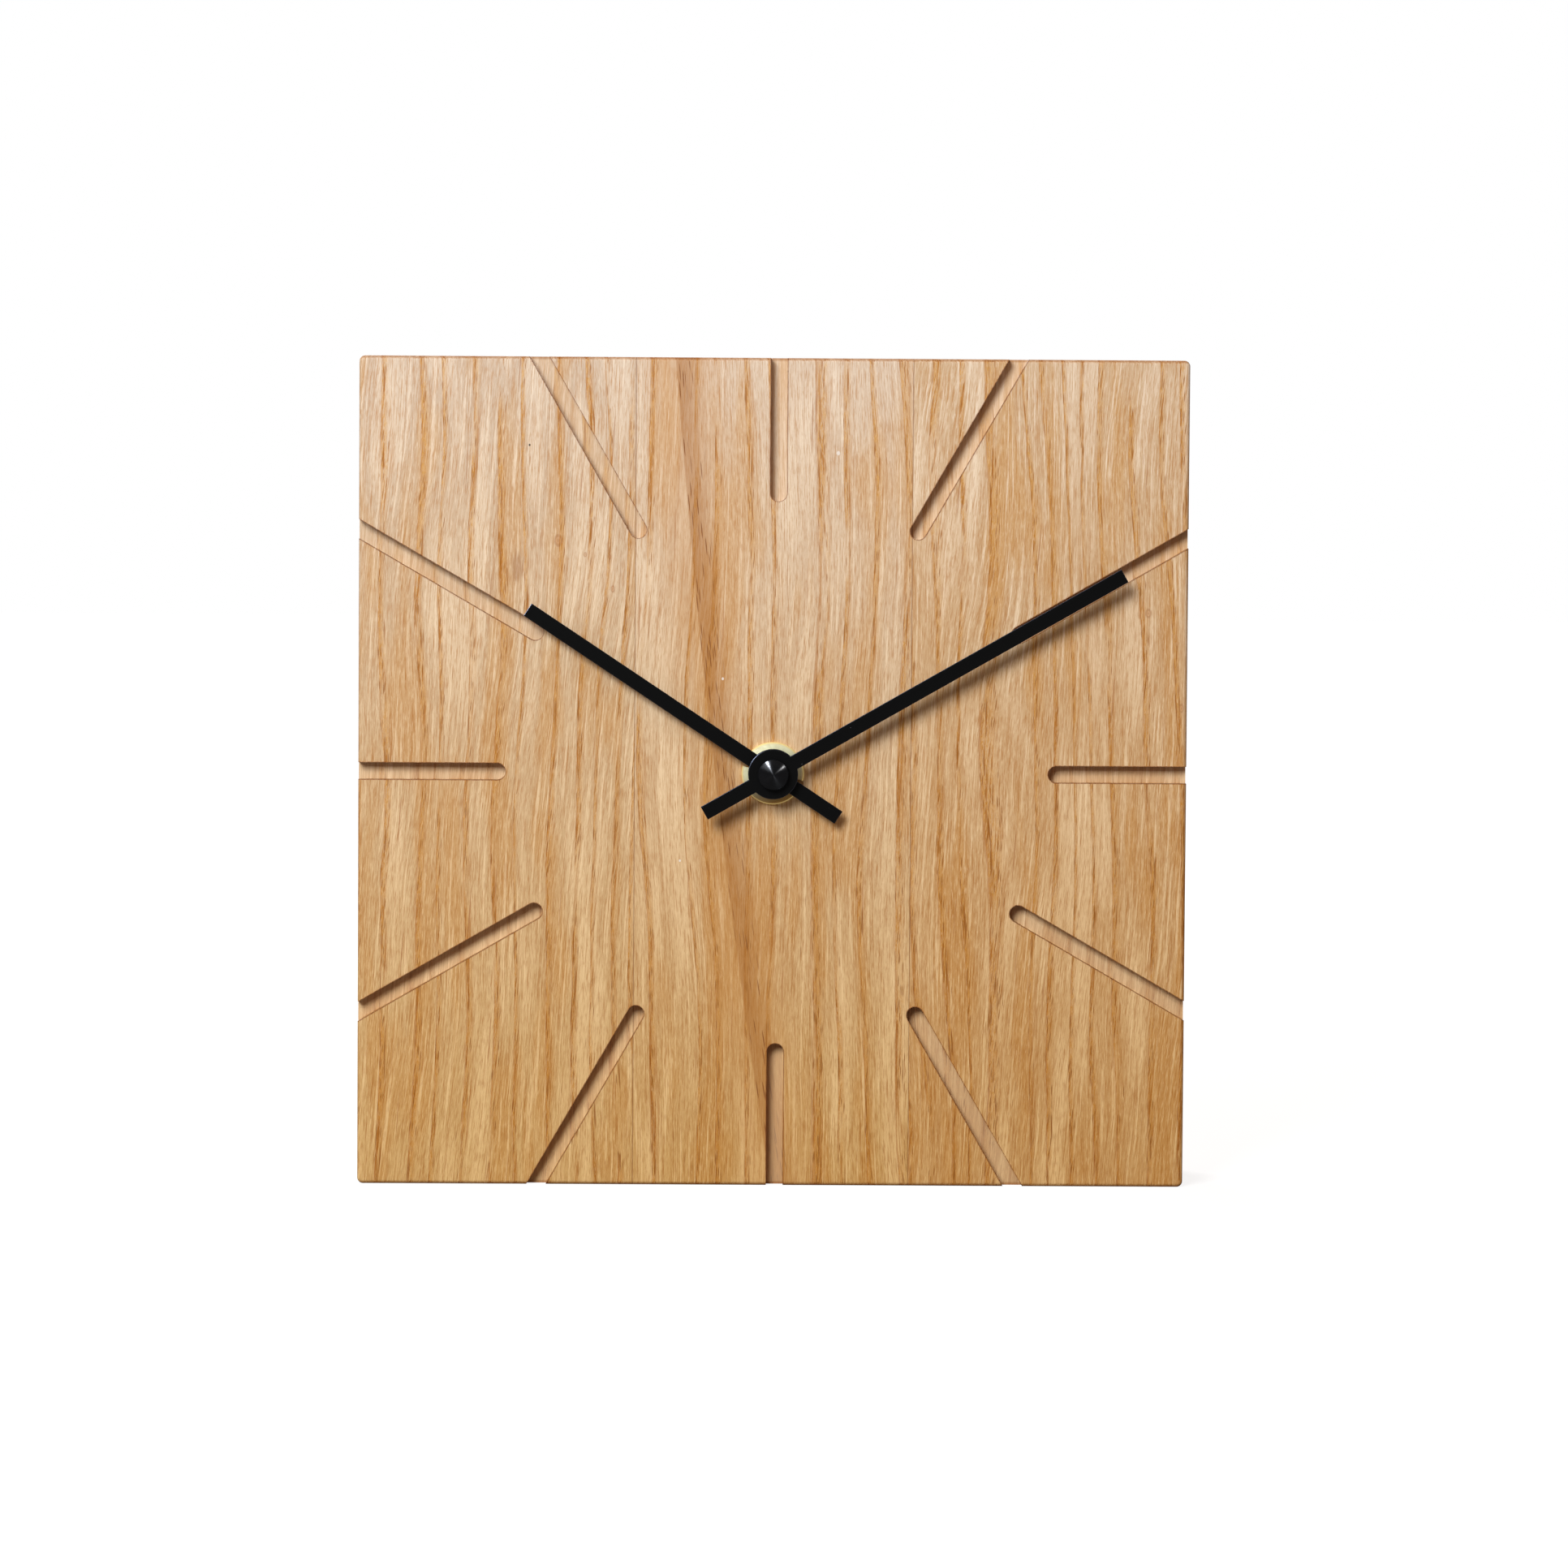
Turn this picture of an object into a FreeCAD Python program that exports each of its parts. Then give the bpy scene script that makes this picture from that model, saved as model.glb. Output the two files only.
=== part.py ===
"""Wooden desk clock: an oak block with twelve milled hour grooves and a battery movement.

Frame: +X to the right as the clock is read, +Y from the front face to the back, +Z up.
The origin is the middle of the block's bottom face. All lengths are in millimetres, angles in degrees.
"""
import FreeCAD, Part
import math
import os
import re
import Sketcher

# Driving sizes, one group for each piece of the clock
SIZES = {
    # oak block, three glued staves
    "block_width": 200.0,
    "block_height": 200.0,
    "block_depth": 40.0,
    "middle_stave_width": 66.7,
    "corner_radius": 1.4,
    "edge_round": 1.0,
    # hour grooves, whose star sits a little to the right of the hands
    "groove_count": 12,
    "groove_width": 4.1,
    "groove_depth": 3.5,
    "groove_tip_radius": 65.5,
    "star_offset": 1.0,
    # recess at the back for the movement
    "web_thickness": 8.0,
    "pocket_clearance": 2.0,
    "pocket_corner": 6.0,
    "shaft_hole_clearance": 0.2,
    # rubber ring between the movement and the wood
    "gasket_diameter": 22.0,
    "gasket_thickness": 1.0,
    # movement case, as wide as the dry cell with its contacts, as high and deep as its wheels and board
    "case_wall": 1.2,
    "case_corner": 3.0,
    "room_gap": 2.0,
    "roof_gap": 3.8,
    "lid_gap": 1.3,
    # dry cell and its bay
    "battery_diameter": 14.5,
    "battery_length": 50.5,
    "battery_nub_diameter": 5.5,
    "battery_nub_length": 1.0,
    "battery_crimp": 0.8,
    "bay_clearance": 0.45,
    "battery_floor_gap": 0.2,
    # threaded bush and its slotted nut
    "bush_diameter": 8.0,
    "bush_flange_diameter": 12.0,
    "bush_flange_thickness": 1.0,
    "bush_stand": 2.2,
    "nut_diameter": 15.0,
    "nut_thickness": 1.8,
    "nut_bevel": 0.6,
    "nut_land_diameter": 10.4,
    "nut_dish_depth": 0.25,
    "nut_slot_width": 1.1,
    "nut_slot_depth": 1.5,
    "nut_slot_count": 2,
    "nut_turn": 18.0,
    "thread_clearance": 0.1,
    # hands and their hubs
    "hand_thickness": 0.5,
    "hand_edge": 0.12,
    "hub_diameter": 12.0,
    "collar_diameter": 7.0,
    "push_clearance": 0.02,
    "hour_hand_width": 3.5,
    "hour_hand_reach": 71.0,
    "hour_hand_tail": 19.0,
    "hour_hand_gap": 0.3,
    "hour_collar_length": 0.9,
    "hour_hand_turn": 303.5,
    "minute_hand_width": 3.5,
    "minute_hand_reach": 97.0,
    "minute_hand_tail": 19.0,
    "minute_hand_gap": 1.1,
    "minute_collar_length": 1.0,
    "minute_hand_turn": 60.2,
    # knurled cap nut
    "cap_diameter": 7.5,
    "cap_rim_height": 2.2,
    "cap_cone_height": 1.4,
    "cap_tip_gap": 0.3,
    "knurl_count": 40,
    "knurl_width": 0.3,
    "knurl_depth": 0.15,
    # running fits and small axial gaps in the movement
    "running_clearance": 0.05,
    "end_shake": 0.1,
    "tooth_lap": 0.1,
    "wheel_gap": 0.2,
    "level_gap": 0.5,
    # minute arbor with its cannon pinion, and the hour pipe
    "arbor_diameter": 3.4,
    "arbor_tip_diameter": 2.8,
    "arbor_tip_length": 2.0,
    "pipe_diameter": 5.0,
    "pipe_stand": 0.2,
    "clutch_flange_diameter": 5.2,
    "clutch_flange_thickness": 0.3,
    "clutch_seat_diameter": 2.4,
    "clutch_spring_diameter": 6.0,
    "clutch_spring_thickness": 0.2,
    "rear_arbor_diameter": 1.6,
    # motion work
    "motion_module": 0.3,
    "cannon_teeth": 12,
    "motion_teeth": 36,
    "motion_pinion_teeth": 10,
    "hour_teeth": 40,
    "setting_teeth": 12,
    "motion_wheel_thickness": 1.0,
    "motion_angle": 180.0,
    "setting_angle": 180.0,
    "motion_boss_diameter": 2.0,
    # setting arbor and knob
    "setting_arbor_diameter": 3.0,
    "setting_boss_diameter": 3.2,
    "knob_diameter": 11.0,
    "knob_height": 3.0,
    "knob_gap": 0.3,
    "knob_rib_count": 24,
    "knob_rib_width": 0.7,
    "knob_rib_depth": 0.4,
    # going train, driven by the rotor
    "train_module": 0.25,
    "pinion_teeth": 8,
    "fifth_teeth": 40,
    "seconds_teeth": 48,
    "third_teeth": 60,
    "centre_teeth": 64,
    "train_wheel_thickness": 0.8,
    "train_arbor_diameter": 1.1,
    "pivot_diameter": 0.8,
    "pivot_length": 0.8,
    "third_angle": 45.0,
    "seconds_angle": -10.0,
    "fifth_angle": 100.0,
    "rotor_angle": 60.0,
    # tooth form
    "pressure_angle": 30.0,
    "addendum_share": 0.85,
    "dedendum_share": 1.15,
    "tooth_thinning": 0.03,
    # stepping motor
    "magnet_diameter": 5.0,
    "magnet_thickness": 2.0,
    "air_gap": 0.5,
    "stator_thickness": 1.0,
    "stator_ring_gap": 0.25,
    "stator_bar_width": 2.8,
    "stator_foot_width": 4.0,
    "core_left_inset": 9.8,
    "core_magnet_gap": 1.0,
    "coil_wheel_gap": 2.8,
    "core_waist_width": 3.6,
    "bobbin_tube_diameter": 5.2,
    "bobbin_bore_diameter": 4.1,
    "bobbin_flange_diameter": 8.2,
    "bobbin_flange_thickness": 0.8,
    "winding_diameter": 7.4,
    # train plate and its posts
    "plate_thickness": 1.0,
    "plate_rise": 4.3,
    "plate_right_inset": 2.8,
    "plate_margin": 0.6,
    "post_diameter": 3.2,
    "pin_diameter": 1.5,
    "pin_clearance": 0.05,
    "post_inset": 2.4,
    # rear cover
    "cover_thickness": 1.2,
    "cover_boss_diameter": 3.0,
    "cover_boss_height": 1.0,
    "latch_width": 6.0,
    "latch_length": 6.0,
    "latch_rise": 12.0,
    "latch_clearance": 0.15,
    # circuit board
    "board_width": 17.0,
    "board_height": 11.4,
    "board_thickness": 1.0,
    "board_inset": 1.0,
    "board_coil_gap": 1.0,
    "board_stand": 4.5,
    "chip_place_share": 0.4,
    "chip_width": 4.6,
    "chip_height": 1.2,
    "chip_corner": 1.5,
    "chip_round": 0.5,
    "crystal_place_share": 0.62,
    "crystal_diameter": 2.0,
    "crystal_length": 6.0,
    # battery contacts
    "contact_thickness": 0.3,
    "contact_width": 3.0,
    "contact_plate_width": 10.0,
    "contact_foot": 2.0,
    "spring_reach": 7.0,
    "spring_room": 2.5,
    # one overrun for every cut
    "overrun": 5.0,
}

# Places and sizes that follow from the driving ones
DERIVED = {
    # block, with its depth levels from front to back
    "half_width": "block_width / 2",
    "half_stave": "middle_stave_width / 2",
    "axis_z": "block_height / 2",
    "face_y": "-block_depth / 2",
    "back_y": "block_depth / 2",
    "floor_y": "face_y + web_thickness",
    "case_y": "floor_y + gasket_thickness",
    "inner_y": "case_y + case_wall",
    "cover_y": "board_back_y + crystal_diameter + lid_gap",
    "case_back_y": "cover_y + cover_thickness",
    "cover_boss_y": "cover_y - cover_boss_height",
    # the case holds the dry cell and its contacts from side to side
    "half_room": "battery_length / 2 + contact_thickness + spring_room / 2",
    "half_case": "half_room + case_wall",
    "half_pocket": "half_case + pocket_clearance",
    # battery bay along the bottom of the case, below the wheel room
    "room_bottom_z": "axis_z - train_module * (centre_teeth / 2 + addendum_share) - room_gap",
    "bay_height": "battery_diameter + 2 * bay_clearance",
    "bay_top_z": "room_bottom_z - case_wall",
    "bay_bottom_z": "bay_top_z - bay_height",
    "case_bottom_z": "bay_bottom_z - case_wall",
    "room_top_z": "core_z + half_foot + roof_gap",
    "case_top_z": "room_top_z + case_wall",
    "battery_y": "inner_y + battery_floor_gap + battery_diameter / 2",
    "battery_z": "bay_bottom_z + bay_height / 2",
    "battery_left_x": "-half_room + 2 * contact_thickness",
    "battery_right_x": "battery_left_x + battery_length",
    # heights of the hands in front of the face
    "bush_front_y": "face_y - bush_stand",
    "hour_sheet_y": "bush_front_y - hour_hand_gap - hour_collar_length",
    "hour_front_y": "hour_sheet_y - hand_thickness",
    "pipe_front_y": "hour_front_y - pipe_stand",
    "shoulder_y": "pipe_front_y - minute_hand_gap",
    "minute_sheet_y": "shoulder_y - minute_collar_length",
    "minute_front_y": "minute_sheet_y - hand_thickness",
    "cap_rim_y": "minute_front_y - cap_rim_height",
    # motion work, between the case front and the train plate
    "hour_wheel_y": "inner_y + bush_flange_thickness + wheel_gap",
    "hour_wheel_back_y": "hour_wheel_y + motion_wheel_thickness",
    "motion_wheel_y": "hour_wheel_back_y + wheel_gap + tooth_lap",
    "motion_wheel_back_y": "motion_wheel_y + motion_wheel_thickness",
    "cannon_y": "motion_wheel_y - tooth_lap",
    "cannon_back_y": "motion_wheel_back_y + tooth_lap",
    "hour_module": "motion_module * (cannon_teeth + motion_teeth) / (motion_pinion_teeth + hour_teeth)",
    "motion_distance": "motion_module * (cannon_teeth + motion_teeth) / 2",
    "setting_distance": "motion_module * (motion_teeth + setting_teeth) / 2",
    "motion_x": "motion_distance * cos(motion_angle)",
    "motion_z": "axis_z + motion_distance * sin(motion_angle)",
    "setting_x": "motion_x + setting_distance * cos(setting_angle)",
    "setting_z": "motion_z + setting_distance * sin(setting_angle)",
    "motion_boss_y": "hour_wheel_y - wheel_gap - end_shake",
    "pipe_radius": "pipe_diameter / 2",
    "arbor_radius": "arbor_diameter / 2",
    "pivot_radius": "pivot_diameter / 2",
    "setting_radius": "setting_arbor_diameter / 2",
    # going train, behind the train plate
    "plate_y": "inner_y + plate_rise",
    "plate_back_y": "plate_y + plate_thickness",
    "clutch_y": "plate_back_y + end_shake",
    "clutch_seat_y": "clutch_y + clutch_flange_thickness",
    "centre_wheel_y": "clutch_seat_y + end_shake / 2",
    "centre_wheel_back_y": "centre_wheel_y + train_wheel_thickness",
    "clutch_seat_back_y": "centre_wheel_back_y + end_shake / 2 + clutch_spring_thickness",
    "third_wheel_y": "centre_wheel_back_y + level_gap",
    "third_wheel_back_y": "third_wheel_y + train_wheel_thickness",
    "seconds_wheel_y": "third_wheel_back_y + level_gap",
    "seconds_wheel_back_y": "seconds_wheel_y + train_wheel_thickness",
    "fifth_wheel_y": "seconds_wheel_back_y + level_gap",
    "fifth_wheel_back_y": "fifth_wheel_y + train_wheel_thickness",
    "third_distance": "train_module * (pinion_teeth + centre_teeth) / 2",
    "seconds_distance": "train_module * (pinion_teeth + third_teeth) / 2",
    "fifth_distance": "train_module * (pinion_teeth + seconds_teeth) / 2",
    "rotor_distance": "train_module * (pinion_teeth + fifth_teeth) / 2",
    "third_x": "third_distance * cos(third_angle)",
    "third_z": "axis_z + third_distance * sin(third_angle)",
    "seconds_x": "third_x + seconds_distance * cos(seconds_angle)",
    "seconds_z": "third_z + seconds_distance * sin(seconds_angle)",
    "fifth_x": "seconds_x + fifth_distance * cos(fifth_angle)",
    "fifth_z": "seconds_z + fifth_distance * sin(fifth_angle)",
    "rotor_x": "fifth_x + rotor_distance * cos(rotor_angle)",
    "rotor_z": "fifth_z + rotor_distance * sin(rotor_angle)",
    # stepping motor, its plates lying on the train plate
    "stator_back_y": "plate_back_y + stator_thickness",
    "core_back_y": "stator_back_y + stator_thickness",
    "core_y": "stator_back_y + stator_thickness / 2",
    "third_tip_radius": "train_module * (third_teeth / 2 + addendum_share)",
    "core_z": "third_z + third_tip_radius + coil_wheel_gap + bobbin_flange_diameter / 2",
    "core_left": "core_left_inset - half_room",
    "core_right": "rotor_x - magnet_radius - core_magnet_gap - half_foot",
    "magnet_y": "plate_back_y + wheel_gap",
    "magnet_back_y": "magnet_y + magnet_thickness",
    "magnet_radius": "magnet_diameter / 2",
    "stator_hole_radius": "magnet_radius + air_gap",
    "stator_ring_radius": "rotor_distance - train_arbor_diameter / 2 - stator_ring_gap",
    "half_foot": "stator_foot_width / 2",
    "stator_bar_z": "rotor_z - stator_ring_radius / 2",
    "bobbin_left_x": "core_left + half_foot + stator_foot_width / 4",
    "bobbin_right_x": "core_right - half_foot - stator_foot_width / 4",
    "coil_bottom_z": "core_z - bobbin_flange_diameter / 2",
    # train plate, which reaches as far to the left as the circuit board on it
    "plate_left": "board_left",
    "plate_right": "half_room - plate_right_inset",
    "plate_bottom_z": "room_bottom_z + plate_margin",
    "plate_top_z": "core_z + half_foot + plate_margin",
    "window_bottom_z": "coil_bottom_z - plate_margin",
    "window_left_x": "bobbin_left_x - plate_margin",
    "window_right_x": "bobbin_right_x + plate_margin",
    "low_post_z": "plate_bottom_z + post_inset",
    "left_post_x": "plate_left + post_inset",
    "right_post_x": "plate_right - post_inset",
    # circuit board, behind the plate at the left
    "board_y": "plate_back_y + board_stand",
    "board_back_y": "board_y + board_thickness",
    "board_left": "board_inset - half_room",
    "board_right": "board_left + board_width",
    "board_top_z": "coil_bottom_z - board_coil_gap",
    "board_bottom_z": "board_top_z - board_height",
    "board_middle_z": "board_top_z - board_height / 2",
    "board_left_post_x": "board_left + post_inset",
    "board_right_post_x": "board_right - post_inset",
    "chip_x": "board_left + board_width * chip_place_share",
    "crystal_x": "board_left + board_width * crystal_place_share",
    "crystal_z": "board_top_z - crystal_diameter",
    # battery contacts, at the two ends of the bay
    "contact_y": "board_back_y - contact_width",
    "contact_top_z": "board_bottom_z + contact_foot",
    "contact_foot_y": "board_back_y + contact_thickness",
    "riser_x": "board_left + contact_foot",
}

# How exactly an edge has to run straight or lie in a plane to be chosen, as shares of a size
STRAIGHT_SHARE = 0.001
LEVEL_SHARE = 0.000001
HALF_TURN = 180

doc = FreeCAD.newDocument("desk_clock")
sheet = doc.addObject("Spreadsheet::Sheet", "Sizes")
for row, (name, number) in enumerate(SIZES.items(), start=1):
    sheet.set(f"A{row}", name)
    sheet.set(f"B{row}", str(number))
    sheet.setAlias(f"B{row}", name)
doc.recompute()


# Expressions

def bind(text):
    """Turn a sum of plain names into an expression on the sheet's cells."""
    def replace(match):
        word = match.group()
        if word in DERIVED:
            return "(" + bind(DERIVED[word]) + ")"
        if word in SIZES:
            return "Sizes." + word
        return word
    return re.sub(r"[a-z][a-z_]*", replace, text)


def number_of(text):
    """The present value of a sum of plain names."""
    value = sheet.evalExpression(bind(text))
    return float(getattr(value, "Value", value))


# Sketches and features

def origin_plane(body, role):
    return [item for item in body.Origin.OriginFeatures if item.Role == role][0]


def new_body(label):
    body = doc.addObject("PartDesign::Body", label)
    body.Label = label
    return body


def new_sketch(body, role, offset=None):
    """A sketch on one of the body's own origin planes, moved along x, y or z of that plane."""
    sketch = body.newObject("Sketcher::SketchObject", body.Name + "_sketch")
    sketch.AttachmentSupport = (origin_plane(body, role), [""])
    sketch.MapMode = "FlatFace"
    for axis, text in (offset or {}).items():
        sketch.setExpression("AttachmentOffset.Base." + axis, bind(text))
    return sketch


def hold(sketch, kind, geometry, end, text):
    """Hold one point of a sketch at a distance from its origin, across or up."""
    rule = Sketcher.Constraint(kind, -1, 1, geometry, end, number_of(text))
    index = sketch.addConstraint(rule)
    sketch.setExpression(f"Constraints[{index}]", bind(text))


def pin_point(sketch, geometry, end, place):
    """Hold one point of a sketch at a place given by two sums."""
    hold(sketch, "DistanceX", geometry, end, place[0])
    hold(sketch, "DistanceY", geometry, end, place[1])


def draw_outline(sketch, points):
    """A closed outline of straight edges through points that are pairs of sums."""
    corners = [FreeCAD.Vector(number_of(u), number_of(v), 0) for u, v in points]
    ends = corners[1:] + corners[:1]
    edges = [sketch.addGeometry(Part.LineSegment(a, b), False) for a, b in zip(corners, ends)]
    for edge, following in zip(edges, edges[1:] + edges[:1]):
        sketch.addConstraint(Sketcher.Constraint("Coincident", edge, 2, following, 1))
    for edge, place in zip(edges, points):
        pin_point(sketch, edge, 1, place)


def draw_circle(sketch, radius, place=("0", "0")):
    centre = FreeCAD.Vector(number_of(place[0]), number_of(place[1]), 0)
    ring = Part.Circle(centre, FreeCAD.Vector(0, 0, 1), number_of(radius))
    geometry = sketch.addGeometry(ring, False)
    index = sketch.addConstraint(Sketcher.Constraint("Radius", geometry, number_of(radius)))
    sketch.setExpression(f"Constraints[{index}]", bind(radius))
    pin_point(sketch, geometry, 3, place)


def rectangle(left, right, bottom, top):
    return [(left, bottom), (right, bottom), (right, top), (left, top)]


def draw(sketch, shapes):
    """Draw outlines, given as lists of points, and circles, given as (radius, place)."""
    for shape in shapes:
        if isinstance(shape, tuple):
            draw_circle(sketch, *shape)
        else:
            draw_outline(sketch, shape)


def level_feature(kind, body, shapes, front, back):
    """A pad or pocket between two depth levels, its sketch on the back one."""
    sketch = new_sketch(body, "XZ_Plane", {"z": f"-({back})"})
    draw(sketch, shapes)
    feature = body.newObject(kind, body.Name + "_" + kind.split("::")[1].lower())
    feature.Profile = (sketch, [""])
    feature.setExpression("Length", bind(f"({back}) - ({front})"))
    return feature


def add(body, shapes, front, back):
    feature = level_feature("PartDesign::Pad", body, shapes, front, back)
    doc.recompute()
    return feature


def cut(body, shapes, front, back):
    """A pocket, which has to take something away."""
    before = body.Shape.Volume
    feature = level_feature("PartDesign::Pocket", body, shapes, front, back)
    feature.Reversed = True
    doc.recompute()
    if not body.Shape.Volume < before:
        raise RuntimeError(f"{feature.Name} cuts nothing")
    return feature


def repeat(body, feature, sketch, count):
    """Repeat a feature round the sketch's own normal."""
    pattern = body.newObject("PartDesign::PolarPattern", body.Name + "_pattern")
    pattern.Originals = [feature]
    pattern.Axis = (sketch, ["N_Axis"])
    pattern.Angle = 360
    pattern.setExpression("Occurrences", bind(count))
    body.Tip = pattern
    doc.recompute()
    return pattern


def edge_names(feature, wanted):
    edges = enumerate(feature.Shape.Edges, start=1)
    return [f"Edge{index}" for index, edge in edges if wanted(edge)]


def along_depth(edge):
    """Whether an edge runs straight from front to back."""
    box = edge.BoundBox
    return isinstance(edge.Curve, Part.Line) and max(box.XLength, box.ZLength) < box.YLength * STRAIGHT_SHARE


def at_level(level):
    """A test for edges that lie in one depth plane."""
    y = number_of(level)
    slack = number_of("block_depth") * LEVEL_SHARE

    def wanted(edge):
        return abs(edge.BoundBox.YMin - y) < slack and abs(edge.BoundBox.YMax - y) < slack
    return wanted


def ease(kind, body, feature, names, size):
    """Round or bevel the named edges of a feature."""
    soft = body.newObject("PartDesign::" + kind, body.Name + "_" + kind.lower())
    soft.Base = (feature, names)
    soft.setExpression("Radius" if kind == "Fillet" else "Size", bind(size))
    doc.recompute()
    return soft


def revolve(body, points, about="V_Axis"):
    """Turn an outline of (radius, depth) points about the depth axis."""
    sketch = new_sketch(body, "XY_Plane")
    draw_outline(sketch, points)
    turned = body.newObject("PartDesign::Revolution", body.Name + "_revolution")
    turned.Profile = (sketch, [""])
    turned.ReferenceAxis = (sketch, [about])
    turned.Angle = 360
    doc.recompute()
    return turned


def place(item, x, z):
    """Put a piece that is drawn on the depth axis where its own axis is."""
    item.setExpression("Placement.Base.x", bind(x))
    item.setExpression("Placement.Base.z", bind(z))


def turn(item, angle):
    """Turn a piece clockwise, as the clock is read."""
    item.Placement.Rotation = FreeCAD.Rotation(FreeCAD.Vector(0, 1, 0), number_of(angle))
    item.setExpression("Placement.Rotation.Angle", bind(angle))


def fuse(label, items):
    joined = doc.addObject("Part::MultiFuse", label)
    joined.Shapes = items
    joined.Label = label
    return joined


# Toothed wheels

def involute(base_radius, radius):
    """The angle that an involute has turned through, in radians, at a radius."""
    angle = math.acos(min(base_radius / radius, 1))
    return math.tan(angle) - angle


def tooth_edges(teeth, module, middle):
    """The flanks and tip of one tooth, its middle at an angle in radians."""
    pitch_radius = module * teeth / 2
    base_radius = pitch_radius * math.cos(math.radians(number_of("pressure_angle")))
    tip_radius = pitch_radius + module * number_of("addendum_share")
    root_radius = pitch_radius - module * number_of("dedendum_share")
    start_radius = max(root_radius, base_radius)
    half_tooth = math.pi / (2 * teeth) - number_of("tooth_thinning") / (2 * pitch_radius)

    def point(radius, side, flank_radius):
        half = half_tooth + involute(base_radius, pitch_radius) - involute(base_radius, flank_radius)
        angle = middle + side * half
        return FreeCAD.Vector(radius * math.cos(angle), 0, radius * math.sin(angle))

    def flank(side):
        radii = (start_radius, (start_radius + tip_radius) / 2, tip_radius)
        return [point(radius, side, radius) for radius in radii]

    low, high = flank(-1), flank(1)[::-1]
    tip = point(tip_radius, 0, tip_radius)
    edges = [
        Part.Arc(*low).toShape(),
        Part.Arc(low[-1], tip, high[0]).toShape(),
        Part.Arc(*high).toShape(),
    ]
    if start_radius > root_radius:
        root_low = point(root_radius, -1, start_radius)
        root_high = point(root_radius, 1, start_radius)
        edges.insert(0, Part.LineSegment(root_low, low[0]).toShape())
        edges.append(Part.LineSegment(high[-1], root_high).toShape())
    return edges


def toothed_disc(label, teeth, module, front, back, phase, hole=None):
    """A spur wheel on the depth axis, one tooth's middle at the phase angle."""
    count = round(number_of(teeth))
    edges = []
    for index in range(count):
        middle = phase + 2 * math.pi * index / count
        edges.append(tooth_edges(count, number_of(module), middle))
    outline = []
    for tooth, following in zip(edges, edges[1:] + edges[:1]):
        outline += tooth
        gap = Part.LineSegment(tooth[-1].Vertexes[-1].Point, following[0].Vertexes[0].Point)
        outline.append(gap.toShape())
    face = Part.Face(Part.Wire(outline))
    depth = FreeCAD.Vector(0, number_of(f"({back}) - ({front})"), 0)
    level = FreeCAD.Vector(0, number_of(front), 0)
    solid = face.extrude(depth)
    solid.translate(level)
    if hole:
        bore = Part.makeCylinder(number_of(hole), depth.y, level, FreeCAD.Vector(0, 1, 0))
        solid = solid.cut(bore)
    wheel = doc.addObject("Part::Feature", label)
    wheel.Shape = solid
    wheel.Label = label
    return wheel


def meshed_phase(phase, teeth, other_teeth, direction):
    """The phase of a wheel that meshes with another one, which lies at an angle from it."""
    line = math.radians(direction)
    ratio = number_of(teeth) / number_of(other_teeth)
    return line + math.pi - ratio * (phase - line) + math.pi / number_of(other_teeth)


def train_arbor(label, front_shoulder, rear_shoulder, x, z):
    """A turned arbor with a pivot at each end."""
    arbor = new_body(label)
    thick = "train_arbor_diameter / 2"
    points = [
        ("0", f"{front_shoulder} - pivot_length"),
        ("pivot_radius", f"{front_shoulder} - pivot_length"),
        ("pivot_radius", front_shoulder),
        (thick, front_shoulder),
        (thick, rear_shoulder),
        ("pivot_radius", rear_shoulder),
        ("pivot_radius", f"{rear_shoulder} + pivot_length"),
        ("0", f"{rear_shoulder} + pivot_length"),
    ]
    revolve(arbor, points)
    place(arbor, x, z)
    return arbor


# Oak block

def make_block():
    """The glued block before it is shared out to the three staves that it is made of."""
    block = new_body("block_blank")
    outline = rectangle("-half_width", "half_width", "0", "block_height")
    pad = add(block, [outline], "face_y", "back_y")
    rounded = ease("Fillet", block, pad, edge_names(pad, along_depth), "corner_radius")
    for level in ("face_y", "back_y"):
        rounded = ease("Fillet", block, rounded, edge_names(rounded, at_level(level)), "edge_round")
    cut_grooves(block)
    cut_recess(block)
    return block


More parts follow.
